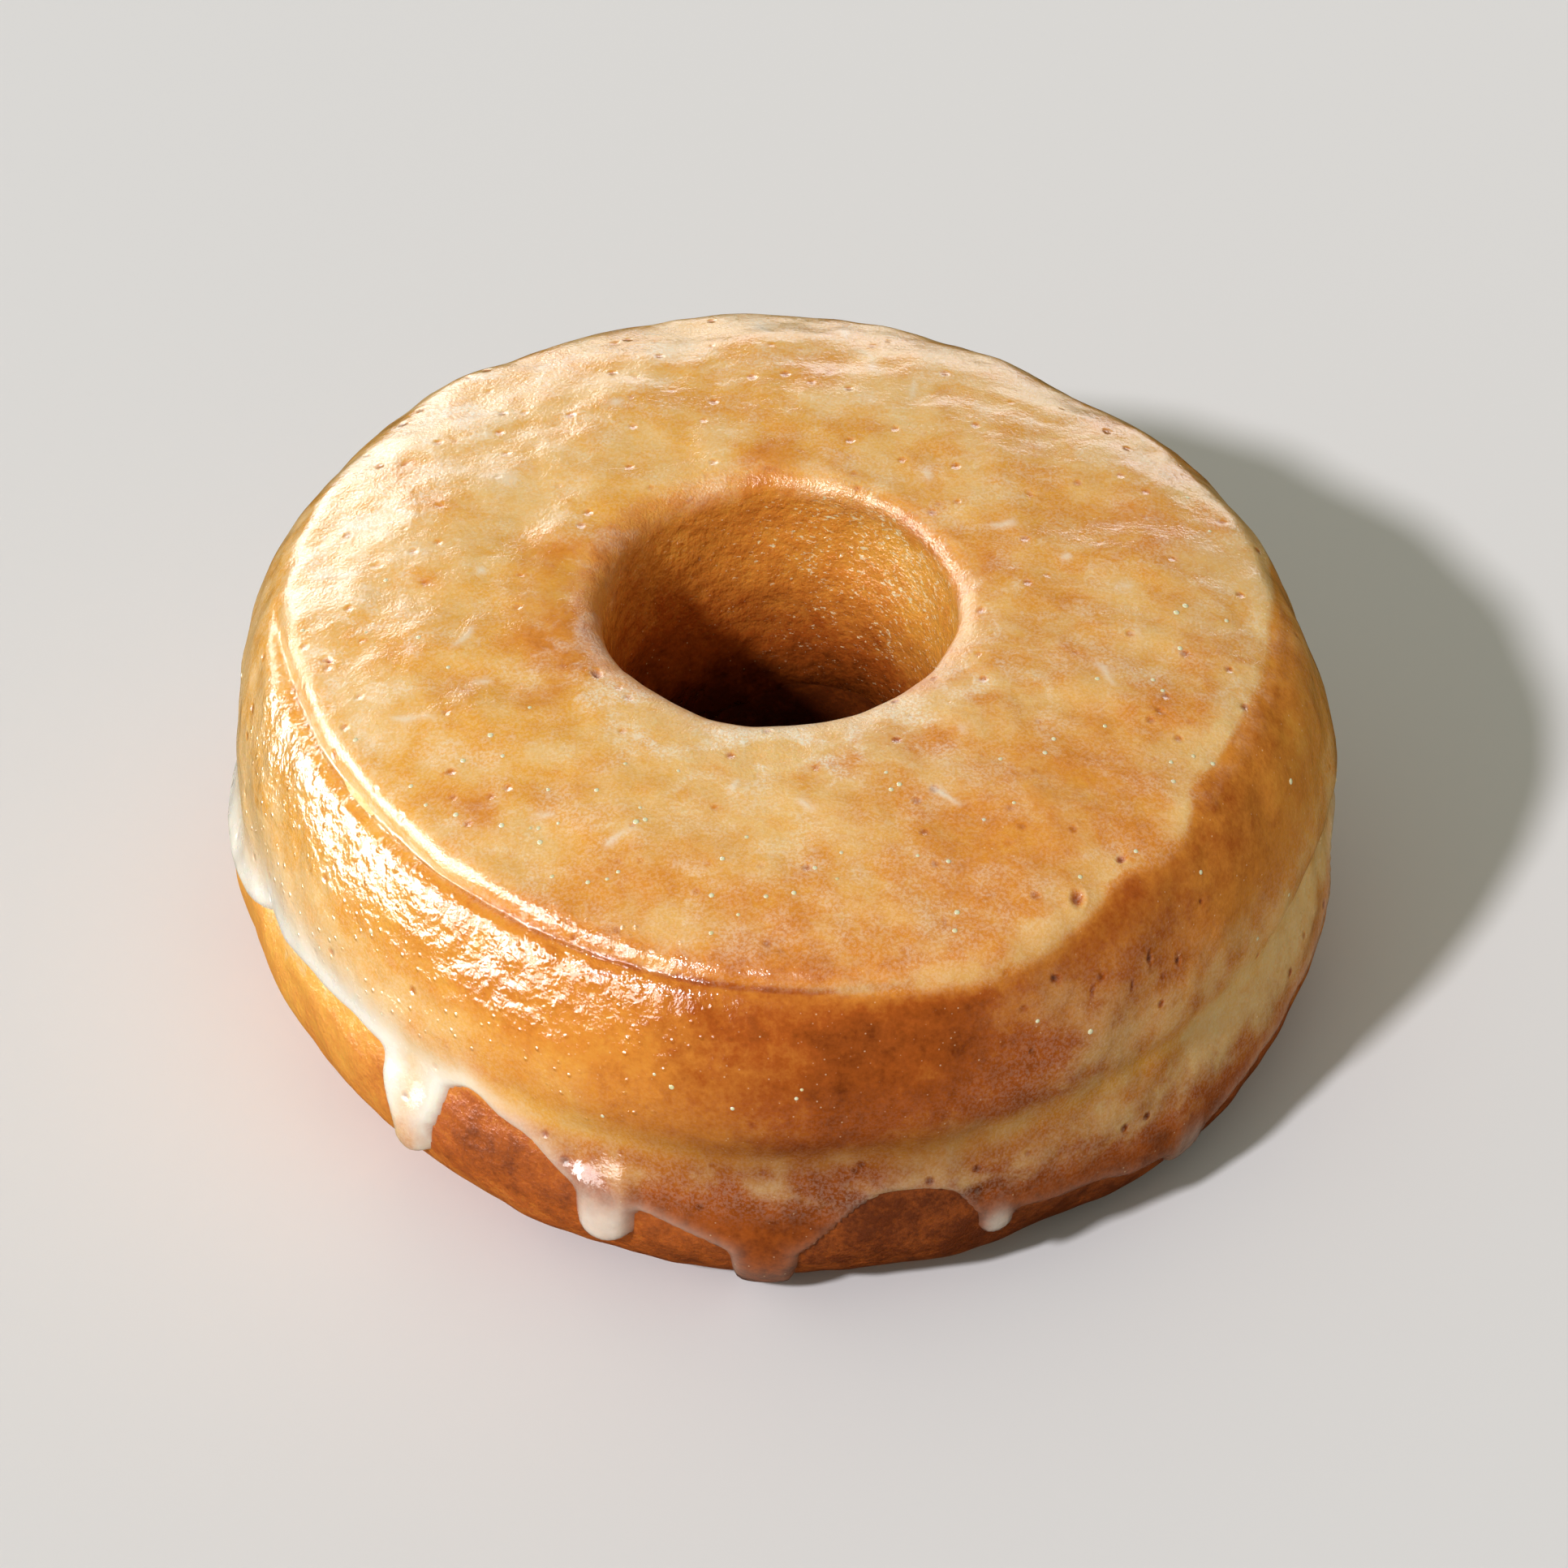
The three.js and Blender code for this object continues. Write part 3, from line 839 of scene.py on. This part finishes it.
def node(tree, kind, settings, inputs, output=0):
    """Adds one node: its settings first, then the values or wires of its sockets."""
    made = tree.nodes.new(kind)
    for name, value in settings.items():
        setattr(made, name, value)
    for key, value in inputs.items():
        socket = made.inputs[key]
        if isinstance(value, Wire):
            tree.links.new(value.socket, socket)
        else:
            socket.default_value = value
    return Wire(tree, made.outputs[output]) if made.outputs else None


def mixed(share, first, second, blend="MIX"):
    """A colour between two, by a share."""
    first, second = (c if isinstance(c, Wire) else (*c, 1) for c in (first, second))
    settings = {"data_type": "RGBA", "blend_type": blend, "clamp_factor": True}
    # A Mix node has its colours at the sockets 6 and 7, and the mixed one at 2.
    return node(share.tree, "ShaderNodeMix", settings, {0: share, 6: first, 7: second}, 2)


def tinted(share, colour, tint):
    """A colour multiplied by a tint, by a share."""
    return mixed(share, colour, tint, "MULTIPLY")


class Board:
    """The nodes of one material, with its object coordinates in millimetres."""

    def __init__(self, name):
        self.material = bpy.data.materials.new(name)
        self.material.use_nodes = True
        self.tree = self.material.node_tree
        self.tree.nodes.clear()
        place = node(self.tree, "ShaderNodeTexCoord", {}, {}, "Object")
        scale = {0: place, "Scale": 1 / MM}
        self.place = node(self.tree, "ShaderNodeVectorMath", {"operation": "SCALE"}, scale)

    def mask(self, name):
        """One of the piece's own masks."""
        return node(self.tree, "ShaderNodeAttribute", {"attribute_name": name}, {}, "Fac")

    def stretched(self, size, turn=(0, 0, 0)):
        """Object coordinates turned and stretched, so that a pattern has that size."""
        settings = {"vector_type": "TEXTURE"}
        turned = {"Vector": self.place, "Rotation": turn, "Scale": size}
        return node(self.tree, "ShaderNodeMapping", settings, turned)

    def grain(self, size, detail, rough, distortion=0.0, place=None):
        """Cloudy noise, 0 to 1, with blots of about that many millimetres."""
        noise = {"Vector": place or self.place, "Scale": 1 / size, "Distortion": distortion}
        noise |= {"Detail": detail, "Roughness": rough}
        return node(self.tree, "ShaderNodeTexNoise", {"noise_dimensions": "3D"}, noise)

    def cells(self, size):
        """Distance to scattered points that lie about that many millimetres apart."""
        scattered = {"Vector": self.place, "Scale": 1 / size}
        return node(self.tree, "ShaderNodeTexVoronoi", {"feature": "F1"}, scattered)

    def dots(self, apart, small):
        """Small dots, 1 in their middle, about that many millimetres apart."""
        return (1 - self.cells(apart) * small).clamped()

    def bumped(self, height):
        """A relief from a height in millimetres."""
        return node(self.tree, "ShaderNodeBump", {}, {"Distance": MM, "Height": height})

    def coated(self, colour, roughness, settings, glow=None):
        """Ends the material in a principled shader; glow is how light spreads inside it."""
        settings = {"Base Color": colour, "Roughness": roughness, **settings}
        if glow:
            weight, spread_by, reach = glow
            settings |= {"Subsurface Weight": weight, "Subsurface Radius": spread_by}
            settings["Subsurface Scale"] = reach * MM
        method = {"subsurface_method": "RANDOM_WALK"}
        shader = node(self.tree, "ShaderNodeBsdfPrincipled", method, settings)
        node(self.tree, "ShaderNodeOutputMaterial", {}, {"Surface": shader})
        return self.material


# Tint of the painted shade on the side turned from the light and down the hole.
SHADE_TINT = (0.45, 0.41, 0.38)
# The colour of single sugar grains and of painted glints.
SPECK_AND_GLINT = (1.0, 0.8, 0.48)
# The colour of dried sugar and of painted sheen.
FROST_AND_SHEEN = (1.0, 0.9, 0.76)


def fried(board, colours, tone, uneven=1.0):
    """Colour of fried dough, from cream to dark brown, with its cloudy unevenness."""
    patches = board.grain(6, 3, 0.55)
    mottle = board.grain(1.4, 3, 0.62)
    grit = board.grain(0.4, 2, 0.6)
    cloudy = (patches - 0.5) * 0.4 + (mottle - 0.5) * 0.4 + (grit - 0.5) * 0.25
    tone = tone + cloudy * uneven
    steps = (colours.cream, colours.golden, colours.orange, colours.brown, colours.dark)
    colour = tuple(steps[0])
    for number, following in enumerate(steps[1:]):
        share = ((tone - number * 0.25) * 4).clamped()
        colour = mixed(share, colour, tuple(following))
    return colour, mottle


def folded(board, size):
    """Rounded swells with sharp little creases between them, 0 in the creases."""
    folds = board.grain(size, 3, 0.5) - 0.5
    return folds.math("ABSOLUTE", folds) * 2


def dough_material(colours):
    """Fried dough with a dull, slightly uneven crust."""
    board = Board("fried_crust")
    colour, mottle = fried(board, colours, board.mask("tone"))
    # Painted shade on the side turned from the light and down the hole.
    colour = tinted(board.mask("shade"), colour, SHADE_TINT)
    relief = mottle * 0.2 + board.grain(0.5, 3, 0.65) * 0.08
    gloss = {"Normal": board.bumped(relief), "Specular IOR Level": 0.35, "IOR": 1.45}
    return board.coated(colour, 0.22 + mottle * 0.25, gloss, (0.1, (1.0, 0.4, 0.15), 1.0))


def glaze_material(colours):
    """Sugar glaze over fried dough: clear to milky, with pits, dried sugar and painted sheen,
    painted glints, painted shade and wrinkles.
    """
    board = Board("sugar_glaze")
    names = ("haze", "milk", "pit", "wrinkle", "hole", "frost_and_sheen", "grain", "glint")
    haze, milk, pit, wrinkle, hole, frost_and_sheen, sparkle, glint = map(board.mask, names)
    flow = board.stretched((1.25, 1.0, 1.0), (0, 0, math.radians(-4)))
    clouds_wide = board.grain(9.0, 3, 0.55, 0.3, flow)
    blots = board.grain(3.6, 5, 0.6, 0.3, flow)
    hills = board.grain(4.2, 1, 0.5, 0.0, flow)
    sugary = haze.stepped(0.1, 0.5)
    dimples = board.dots(3.2, 5.5).stepped(0.0, 0.9) * sugary
    bare = pit + dimples * 0.9
    # The dough as it shows through, browner where the glaze is thin.
    tone = board.mask("tone") + bare * 0.32 + (0.5 - blots) * 0.25 + (0.5 - clouds_wide) * 0.15
    colour, mottle = fried(board, colours, tone, 0.85 - sugary * 0.3)
    # Milky clouds, dried sugar with painted sheen, the thick white edge, and single grains with
    # painted glints, one over the other.
    cover = clouds_wide * 0.5 + blots * 0.5 + (haze - 0.5) * 0.4 - bare * 0.2
    cover = cover.stepped(0.41, 0.59) * haze.stepped(0.1, 0.65)
    colour = mixed((cover * (0.2 + mottle * 1.15)).clamped(), colour, tuple(colours.haze))
    rags = board.grain(2.0, 3, 0.6)
    grit = board.grain(0.27, 2, 0.65)
    crystals = grit.stepped(0.4, 0.62)
    drifts = board.grain(3.4, 3, 0.6, 0.8, flow).stepped(0.44, 0.66)
    # Dried sugar, and painted sheen where a reflection would show by the front of the hole and
    # at the back left.
    dry_and_sheen = drifts * frost_and_sheen * (0.25 + crystals * 0.55) + crystals * sugary * 0.15
    colour = mixed(dry_and_sheen, colour, FROST_AND_SHEEN)
    thick = (milk * 1.4 + (rags - 0.5) * 0.4 * milk.stepped(0.05, 0.3)).clamped()
    colour = mixed(thick, colour, tuple(colours.milk))
    # Single sugar grains, and painted glints down the hole where the key light's highlight
    # falls.
    specks = board.dots(0.7, 6.5).stepped(0.0, 0.8) * rags.stepped(0.45, 0.6)
    dashes = board.stretched((1.5, 1.5, 0.8))
    glints = board.grain(0.36, 2, 0.7, 0.4, dashes) + rags * 0.35 + glint * 0.12
    glints = glints.stepped(0.86, 0.96) * glint.stepped(0.05, 0.4)
    shown = specks * (0.7 - sugary * 0.3) + glints
    colour = mixed(shown.clamped(), colour, SPECK_AND_GLINT)
    # Painted shade on the side turned from the light and down the hole.
    colour = tinted(board.mask("shade"), colour, SHADE_TINT)
    folds = folded(board, 3.0)
    beads = board.dots(1.2, 4).stepped(0.0, 1.0)
    # The relief in millimetres, then how dull each finish is.
    relief = (
        hills * (0.14 + haze * 0.35)
        + folds.stepped(0.0, 0.5) * wrinkle * 0.18
        + mottle * (0.1 + wrinkle * 0.15 + hole * 0.3)
        + grit * (0.02 + frost_and_sheen * 0.05 + sparkle * 0.1 + wrinkle * 0.02 + glint * 0.14)
        + beads * wrinkle.stepped(0.05, 0.3) * 0.14
    ) - milk * mottle * 0.1 - dimples * 0.13
    dull = 0.13 + cover * 0.14 + drifts * frost_and_sheen * 0.2 - wrinkle * 0.08 + (rags - 0.5) * 0.16
    dull = dull + sparkle * 0.3 + pit * 0.2 - hole * 0.03
    gloss = {"Normal": board.bumped(relief), "Specular IOR Level": 0.8, "IOR": 1.48}
    return board.coated(colour, dull.clamped(0.08, 0.6), gloss, (0.4, (1.0, 0.7, 0.45), 1.3))


def bubble_material(colours):
    """Small hollow bubbles of glaze."""
    board = Board("sugar_bubbles")
    colour = mixed(board.grain(1.2, 2, 0.5).stepped(0.2, 0.5), tuple(colours.haze), SPECK_AND_GLINT)
    return board.coated(colour, 0.15, {}, (0.5, (1.0, 0.5, 0.25), 0.8))


def floor_material(colour):
    """A plain pale table top."""
    board = Board("pale_floor")
    tone = mixed(board.grain(90, 2, 0.5) * 0.1, tuple(colour), tuple(c * 0.98 for c in colour))
    return board.coated(tone, 0.85, {"Specular IOR Level": 0.1})


# -------- what a user can change


def length_property(name, description, default, least=0.0):
    """A length in millimetres."""
    return bpy.props.FloatProperty(
        name=name, description=description, default=default * MM, min=least * MM,
        subtype="DISTANCE", unit="LENGTH",
    )


def colour_property(name, description, default):
    """A colour, as its linear red, green and blue."""
    return bpy.props.FloatVectorProperty(
        name=name, description=description, default=default, size=3, min=0, max=1,
        subtype="COLOR",
    )


def strength_property(name, description, default):
    """A plain number from 0 up."""
    return bpy.props.FloatProperty(name=name, description=description, default=default, min=0.0)


class DoughnutSizes(bpy.types.PropertyGroup):
    """Sizes of the doughnut and its glaze"""

    outer_radius: length_property(
        "Outer radius", "Radius of the ring at its lower bulge", SECTION_OUTER, 20
    )
    hole_radius: length_property(
        "Hole radius", "Radius of the hole at its narrowest", SECTION_HOLE, 4
    )
    height: length_property("Height", "Height of the crown over the table", SECTION_TOP, 10)
    glaze_film: length_property("Glaze film", "Thickness of the glaze over the crown", 0.2)
    glaze_edge: length_property(
        "Glaze edge", "Extra thickness of the glaze along its lower edge", 0.6
    )
    drips: strength_property("Drips", "Share of the drips' plain thickness", 1.0)
    bubbles: bpy.props.IntProperty(
        name="Bubbles", description="Number of small bubbles in the glaze", default=90, min=0
    )


class DoughnutColours(bpy.types.PropertyGroup):
    """Colours of the dough, from cream to dark, of the glaze and of the table top"""

    cream: colour_property("Cream", "Pale dough of the proof line", (0.9, 0.7, 0.42))
    golden: colour_property("Golden", "Lightly fried dough", (0.89, 0.44, 0.07))
    orange: colour_property("Orange", "Fried dough", (0.76, 0.28, 0.04))
    brown: colour_property("Brown", "Well fried dough", (0.47, 0.11, 0.014))
    dark: colour_property("Dark brown", "The darkest dough", (0.17, 0.034, 0.005))
    haze: colour_property("Haze", "Thin milky glaze", (0.9, 0.575, 0.215))
    milk: colour_property("Milk", "Thick glaze and its drips", (0.95, 0.87, 0.75))
    floor: colour_property("Floor", "Table top under the doughnut", (0.752, 0.74, 0.758))


class StageLight(bpy.types.PropertyGroup):
    """Strengths of the lights"""

    sun: strength_property("Key light", "Strength of the hard key light", 2.6)
    fill: strength_property("Fill light", "Strength of the light from all round", 0.36)
    side_card: strength_property("Side card", "Brightness of the card on the left", 15)
    corner_card: strength_property("Corner card", "Brightness of the card at the back left", 6)
    back_card: strength_property("Back card", "Brightness of the card behind", 3.2)
    front_card: strength_property("Front card", "Brightness of the card at the front left", 8)


# -------- operators


# Rows round the tube and columns round the ring.
DOUGH_ROWS, DOUGH_COLUMNS = 170, 440
GLAZE_OUTER_ROWS, GLAZE_INNER_ROWS, GLAZE_COLUMNS = 142, 10, 460
# The glaze's mesh is finer within this many radii of a pit and millimetres of a streak.
FINE_PITS, FINE_STREAKS = 1.7, 0.9


class MESH_OT_doughnut_dough(bpy.types.Operator):
    """Builds the ring of fried dough that shows below the glaze and in the hole"""

    bl_idname = "mesh.doughnut_dough"
    bl_label = "Dough"

    def execute(self, context):
        sizes = context.scene.doughnut_sizes

        def close(place):
            """Rows to a millimetre: most on the bare lower side, few under the glaze."""
            seen = 1 + 0.6 * between(0.5, 1.5, 6.5, 8, place)
            under = 1 - 0.75 * between(7, 9, 17, 19, place)
            return seen * under * (1 - 0.4 * smooth(22, 23, place))

        bm = tube_ring(DOUGH_ROWS, DOUGH_COLUMNS)
        round_it, across = tube_shares(mesh_points(bm))
        turn = turn_spread()(round_it)
        place = section_spread(0, len(SECTION), close)(across)
        base = ring_points(turn, place, sizes)
        height = base[:, 2]
        inside = glaze_inside(turn, place, height)
        offset = lumps(base, height) - DOUGH_SUNK * smooth(0.8, 3.0, inside)
        points = base + ring_normals(turn, place, sizes) * offset[:, None]
        points[:, 2] = np.maximum(points[:, 2], 0)
        masks = {
            "tone": dough_tone(turn, place, base, sizes),
            "shade": shading(turn, place, height),
        }
        material = dough_material(context.scene.doughnut_colours)
        piece = finished("dough_ring", bm, points, masks, material)
        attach(piece, "root")
        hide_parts("doughnut")
        return {"FINISHED"}


class MESH_OT_doughnut_glaze(bpy.types.Operator):
    """Builds the sheet of glaze with its thick edge, drips, ridge and pits"""

    bl_idname = "mesh.doughnut_glaze"
    bl_label = "Glaze"

    def execute(self, context):
        sizes = context.scene.doughnut_sizes
        rows = GLAZE_OUTER_ROWS + GLAZE_INNER_ROWS
        first = GLAZE_OUTER_ROWS / rows
        low, high = HEEL + 0.15, SKIRT - 0.3

        def close(place):
            """Rows to a millimetre: most by the drips and the crease."""
            drips = 1.0 + 0.8 * (1 - smooth(4.5, 6.5, place))
            crease = 1.6 * hump(place - CREASE, 0.9)
            return drips + crease - 0.35 * smooth(16.5, 18, place)

        outward = section_spread(low, high, close)
        turns = turn_spread()

        def settle(points):
            """Turn and place of the plain ring's points, and which are on the outer sheet."""
            round_it, across = tube_shares(points)
            outer = across <= first
            back = high + (low - high) * (across - first) / (1 - first)
            return turns(round_it), np.where(outer, outward(across / first), back), outer

        centres, radii, shares = pit_places(sizes)
        starts, ends, _ = streak_ends(sizes)

        def fine(points):
            """Which points lie near a pit or a streak."""
            turn, place, outer = settle(points)
            at = ring_points(turn, place, sizes)
            near = np.zeros(len(at), bool)
            for centre, radius in zip(centres, radii):
                near |= np.abs(at - centre).max(1) < radius * FINE_PITS
            for start, end in zip(starts, ends):
                near |= line_gap(at, start, end)[0] < FINE_STREAKS
            return near & outer

        bm = tube_ring(rows, GLAZE_COLUMNS)
        refine(bm, fine, 2)
        turn, place, outer = settle(mesh_points(bm))
        base = ring_points(turn, place, sizes)
        height = base[:, 2]
        depth, inside = glaze_depth(turn, place, height, sizes)
        pits, pit_mask = pit_shape(base, centres, radii, shares)
        streaks = streak_shape(base, sizes) * (place > CREASE)
        lip = LIP_GLAZE * hump(place - LIP_GLAZE_AT, LIP_GLAZE_WIDTH)
        thick = depth + lumps(base, height) - pits + streaks * STREAK_HEIGHT + lip
        offset = np.where(outer, thick, -INNER_SUNK)
        points = base + ring_normals(turn, place, sizes) * offset[:, None]
        points[:, 2] = np.maximum(points[:, 2], GLAZE_CLEARANCE)
        masks = glaze_masks(turn, place, base, inside, sizes)
        masks["pit"] = pit_mask
        masks["milk"] = np.clip(np.maximum(masks["milk"], streaks * 0.4), 0, 1)
        material = glaze_material(context.scene.doughnut_colours)
        piece = finished("sugar_glaze", bm, points, masks, material)
        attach(piece, "root")
        return {"FINISHED"}


# Bubbles: least, most and likeliest turn, radius on the crown and size, the share that is
# on the side and the heights there, how flat they are, and how far they are sunk.
BUBBLE_TURNS, BUBBLE_RADII, BUBBLE_SIZES = (165, 400, 250), (20, 40.5, 38.5), (0.14, 0.3, 0.2)
SIDE_BUBBLES, SIDE_BUBBLE_HEIGHTS, BUBBLE_FLATNESS, BUBBLE_SUNK = 0.25, (19, 32), 0.36, 0.08


class MESH_OT_doughnut_bubbles(bpy.types.Operator):
    """Scatters small bubbles over the glaze"""

    bl_idname = "mesh.doughnut_bubbles"
    bl_label = "Bubbles"

    def execute(self, context):
        sizes = context.scene.doughnut_sizes
        draw = random.Random(7)
        bm = bmesh.new()
        for _ in range(sizes.bubbles):
            turn = np.array([draw.triangular(*BUBBLE_TURNS) % 360])
            place = place_on_crown(np.array([draw.triangular(*BUBBLE_RADII)]))
            if draw.random() < SIDE_BUBBLES:
                place = place_on_side(np.array([draw.uniform(*SIDE_BUBBLE_HEIGHTS)]))
            at = ring_points(turn, place, sizes)
            normal = ring_normals(turn, place, sizes)[0]
            depth, _ = glaze_depth(turn, place, at[:, 2], sizes)
            size = draw.triangular(*BUBBLE_SIZES)
            raised = depth[0] + lumps(at, at[:, 2])[0] - size * BUBBLE_SUNK
            middle = Vector(at[0] + normal * raised) * MM
            stand = Vector(normal).to_track_quat("Z", "Y").to_matrix().to_4x4()
            flat = Matrix.Diagonal((1, 1, BUBBLE_FLATNESS, 1))
            bmesh.ops.create_uvsphere(
                bm, u_segments=10, v_segments=6, radius=size * MM,
                matrix=Matrix.Translation(middle) @ stand @ flat,
            )
        bmesh.ops.recalc_face_normals(bm, faces=bm.faces)
        for face in bm.faces:
            face.smooth = True
        points = mesh_points(bm) / MM
        material = bubble_material(context.scene.doughnut_colours)
        piece = finished("glaze_bubbles", bm, points, {}, material)
        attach(piece, "root")
        return {"FINISHED"}


# Half the width of the table top, in metres, and the tint of the light from all round.
TABLE_HALF = 3.0
FILL_TINT = (1.0, 1.02, 0.84)
# The key light: the way to it, how wide it looks in degrees, and its tint.
SUN_TOWARDS, SUN_WIDTH, SUN_TINT = (-0.507, -0.547, 0.667), 5.0, (1.0, 0.98, 1.0)
# Lit cards that show in the gloss: name, width and height in metres, and the way to them.
CARDS = (
    ("side_card", 0.9, 0.62, (-0.97, 0.05, 0.12)),
    ("corner_card", 0.6, 0.4, (-0.55, 0.78, 0.32)),
    ("back_card", 1.05, 0.3, (-0.08, 0.97, 0.17)),
    ("front_card", 0.9, 0.6, (-0.8, -0.46, 0.33)),
)
# How far off the cards and the key light stand, in metres.
CARD_DISTANCE, SUN_DISTANCE = 0.9, 1.0
# The camera's place and aim, its lens and its sensor's width.
CAMERA_AT, CAMERA_AIM, LENS, SENSOR = (-0.1, -586.93, 557.75), (0.15, 0.8, 17.16), 216.9, 36


def lamp_at(data, towards, distance):
    """A lamp that way from the doughnut, facing it."""
    lamp = bpy.data.objects.new(data.name, data)
    lamp.location = towards.normalized() * distance
    lamp.rotation_euler = towards.to_track_quat("Z", "Y").to_euler()
    bpy.context.scene.collection.objects.link(lamp)
    return lamp


class SCENE_OT_doughnut_stage(bpy.types.Operator):
    """Sets the pale table top, the lights and the camera"""

    bl_idname = "scene.doughnut_stage"
    bl_label = "Stage"

    def execute(self, context):
        scene = context.scene
        self.table_top(scene.doughnut_colours.floor)
        self.lights(scene, scene.doughnut_light)
        self.camera(scene)
        scene.view_settings.view_transform = "Standard"
        return {"FINISHED"}

    def table_top(self, colour):
        """A wide plain floor, which doesn't show in the glaze."""
        bm = bmesh.new()
        bmesh.ops.create_grid(bm, x_segments=1, y_segments=1, size=TABLE_HALF)
        floor = finished("table_top", bm, mesh_points(bm) / MM, {}, floor_material(colour))
        floor.visible_glossy = False

    def lights(self, scene, light):
        """Soft light from all round, the key light and the cards."""
        world = bpy.data.worlds.new("soft_light")
        scene.world = world
        world.use_nodes = True
        sky = world.node_tree.nodes["Background"]
        sky.inputs["Color"].default_value = (*FILL_TINT, 1)
        sky.inputs["Strength"].default_value = light.fill
        world.cycles_visibility.glossy = False
        sun = bpy.data.lights.new("key", "SUN")
        sun.energy = light.sun
        sun.angle = math.radians(SUN_WIDTH)
        sun.color = SUN_TINT
        lamp_at(sun, Vector(SUN_TOWARDS), SUN_DISTANCE)
        for name, width, height, towards in CARDS:
            card = bpy.data.lights.new(name, "AREA")
            card.shape = "RECTANGLE"
            card.size, card.size_y = width, height
            card.energy = getattr(light, name) * math.pi * width * height
            lamp_at(card, Vector(towards), CARD_DISTANCE).visible_diffuse = False

    def camera(self, scene):
        """The camera, aimed a little under the middle of the doughnut."""
        data = bpy.data.cameras.new("camera")
        data.lens, data.sensor_width, data.clip_start = LENS, SENSOR, 0.01
        camera = bpy.data.objects.new("camera", data)
        camera.location = Vector(CAMERA_AT) * MM
        towards = Vector(CAMERA_AIM) * MM - camera.location
        camera.rotation_euler = towards.to_track_quat("-Z", "Y").to_euler()
        scene.collection.objects.link(camera)
        scene.camera = camera


class VIEW3D_PT_doughnut(bpy.types.Panel):
    """Sizes, colours and pieces of the doughnut"""

    bl_label = "Doughnut"
    bl_idname = "VIEW3D_PT_doughnut"
    bl_space_type = "VIEW_3D"
    bl_region_type = "UI"
    bl_category = "Doughnut"

    def draw(self, context):
        for group in ("doughnut_sizes", "doughnut_colours", "doughnut_light"):
            settings = getattr(context.scene, group)
            column = self.layout.column()
            for name in settings.__annotations__:
                column.prop(settings, name)
        for operator in OPERATORS:
            self.layout.operator(operator.bl_idname)


OPERATORS = (
    MESH_OT_doughnut_dough,
    MESH_OT_doughnut_glaze,
    MESH_OT_doughnut_bubbles,
    SCENE_OT_doughnut_stage,
)
CLASSES = (DoughnutSizes, DoughnutColours, StageLight, *OPERATORS, VIEW3D_PT_doughnut)


def register():
    """Adds the classes and the settings that they read."""
    for cls in CLASSES:
        bpy.utils.register_class(cls)
    bpy.types.Scene.doughnut_sizes = bpy.props.PointerProperty(type=DoughnutSizes)
    bpy.types.Scene.doughnut_colours = bpy.props.PointerProperty(type=DoughnutColours)
    bpy.types.Scene.doughnut_light = bpy.props.PointerProperty(type=StageLight)


def unregister():
    """Takes the settings and the classes away again."""
    del bpy.types.Scene.doughnut_light
    del bpy.types.Scene.doughnut_colours
    del bpy.types.Scene.doughnut_sizes
    for cls in reversed(CLASSES):
        bpy.utils.unregister_class(cls)


def main():
    """Builds every piece."""
    register()
    bpy.ops.mesh.doughnut_dough()
    bpy.ops.mesh.doughnut_glaze()
    bpy.ops.mesh.doughnut_bubbles()
    bpy.ops.scene.doughnut_stage()


if __name__ == "__main__":
    main()
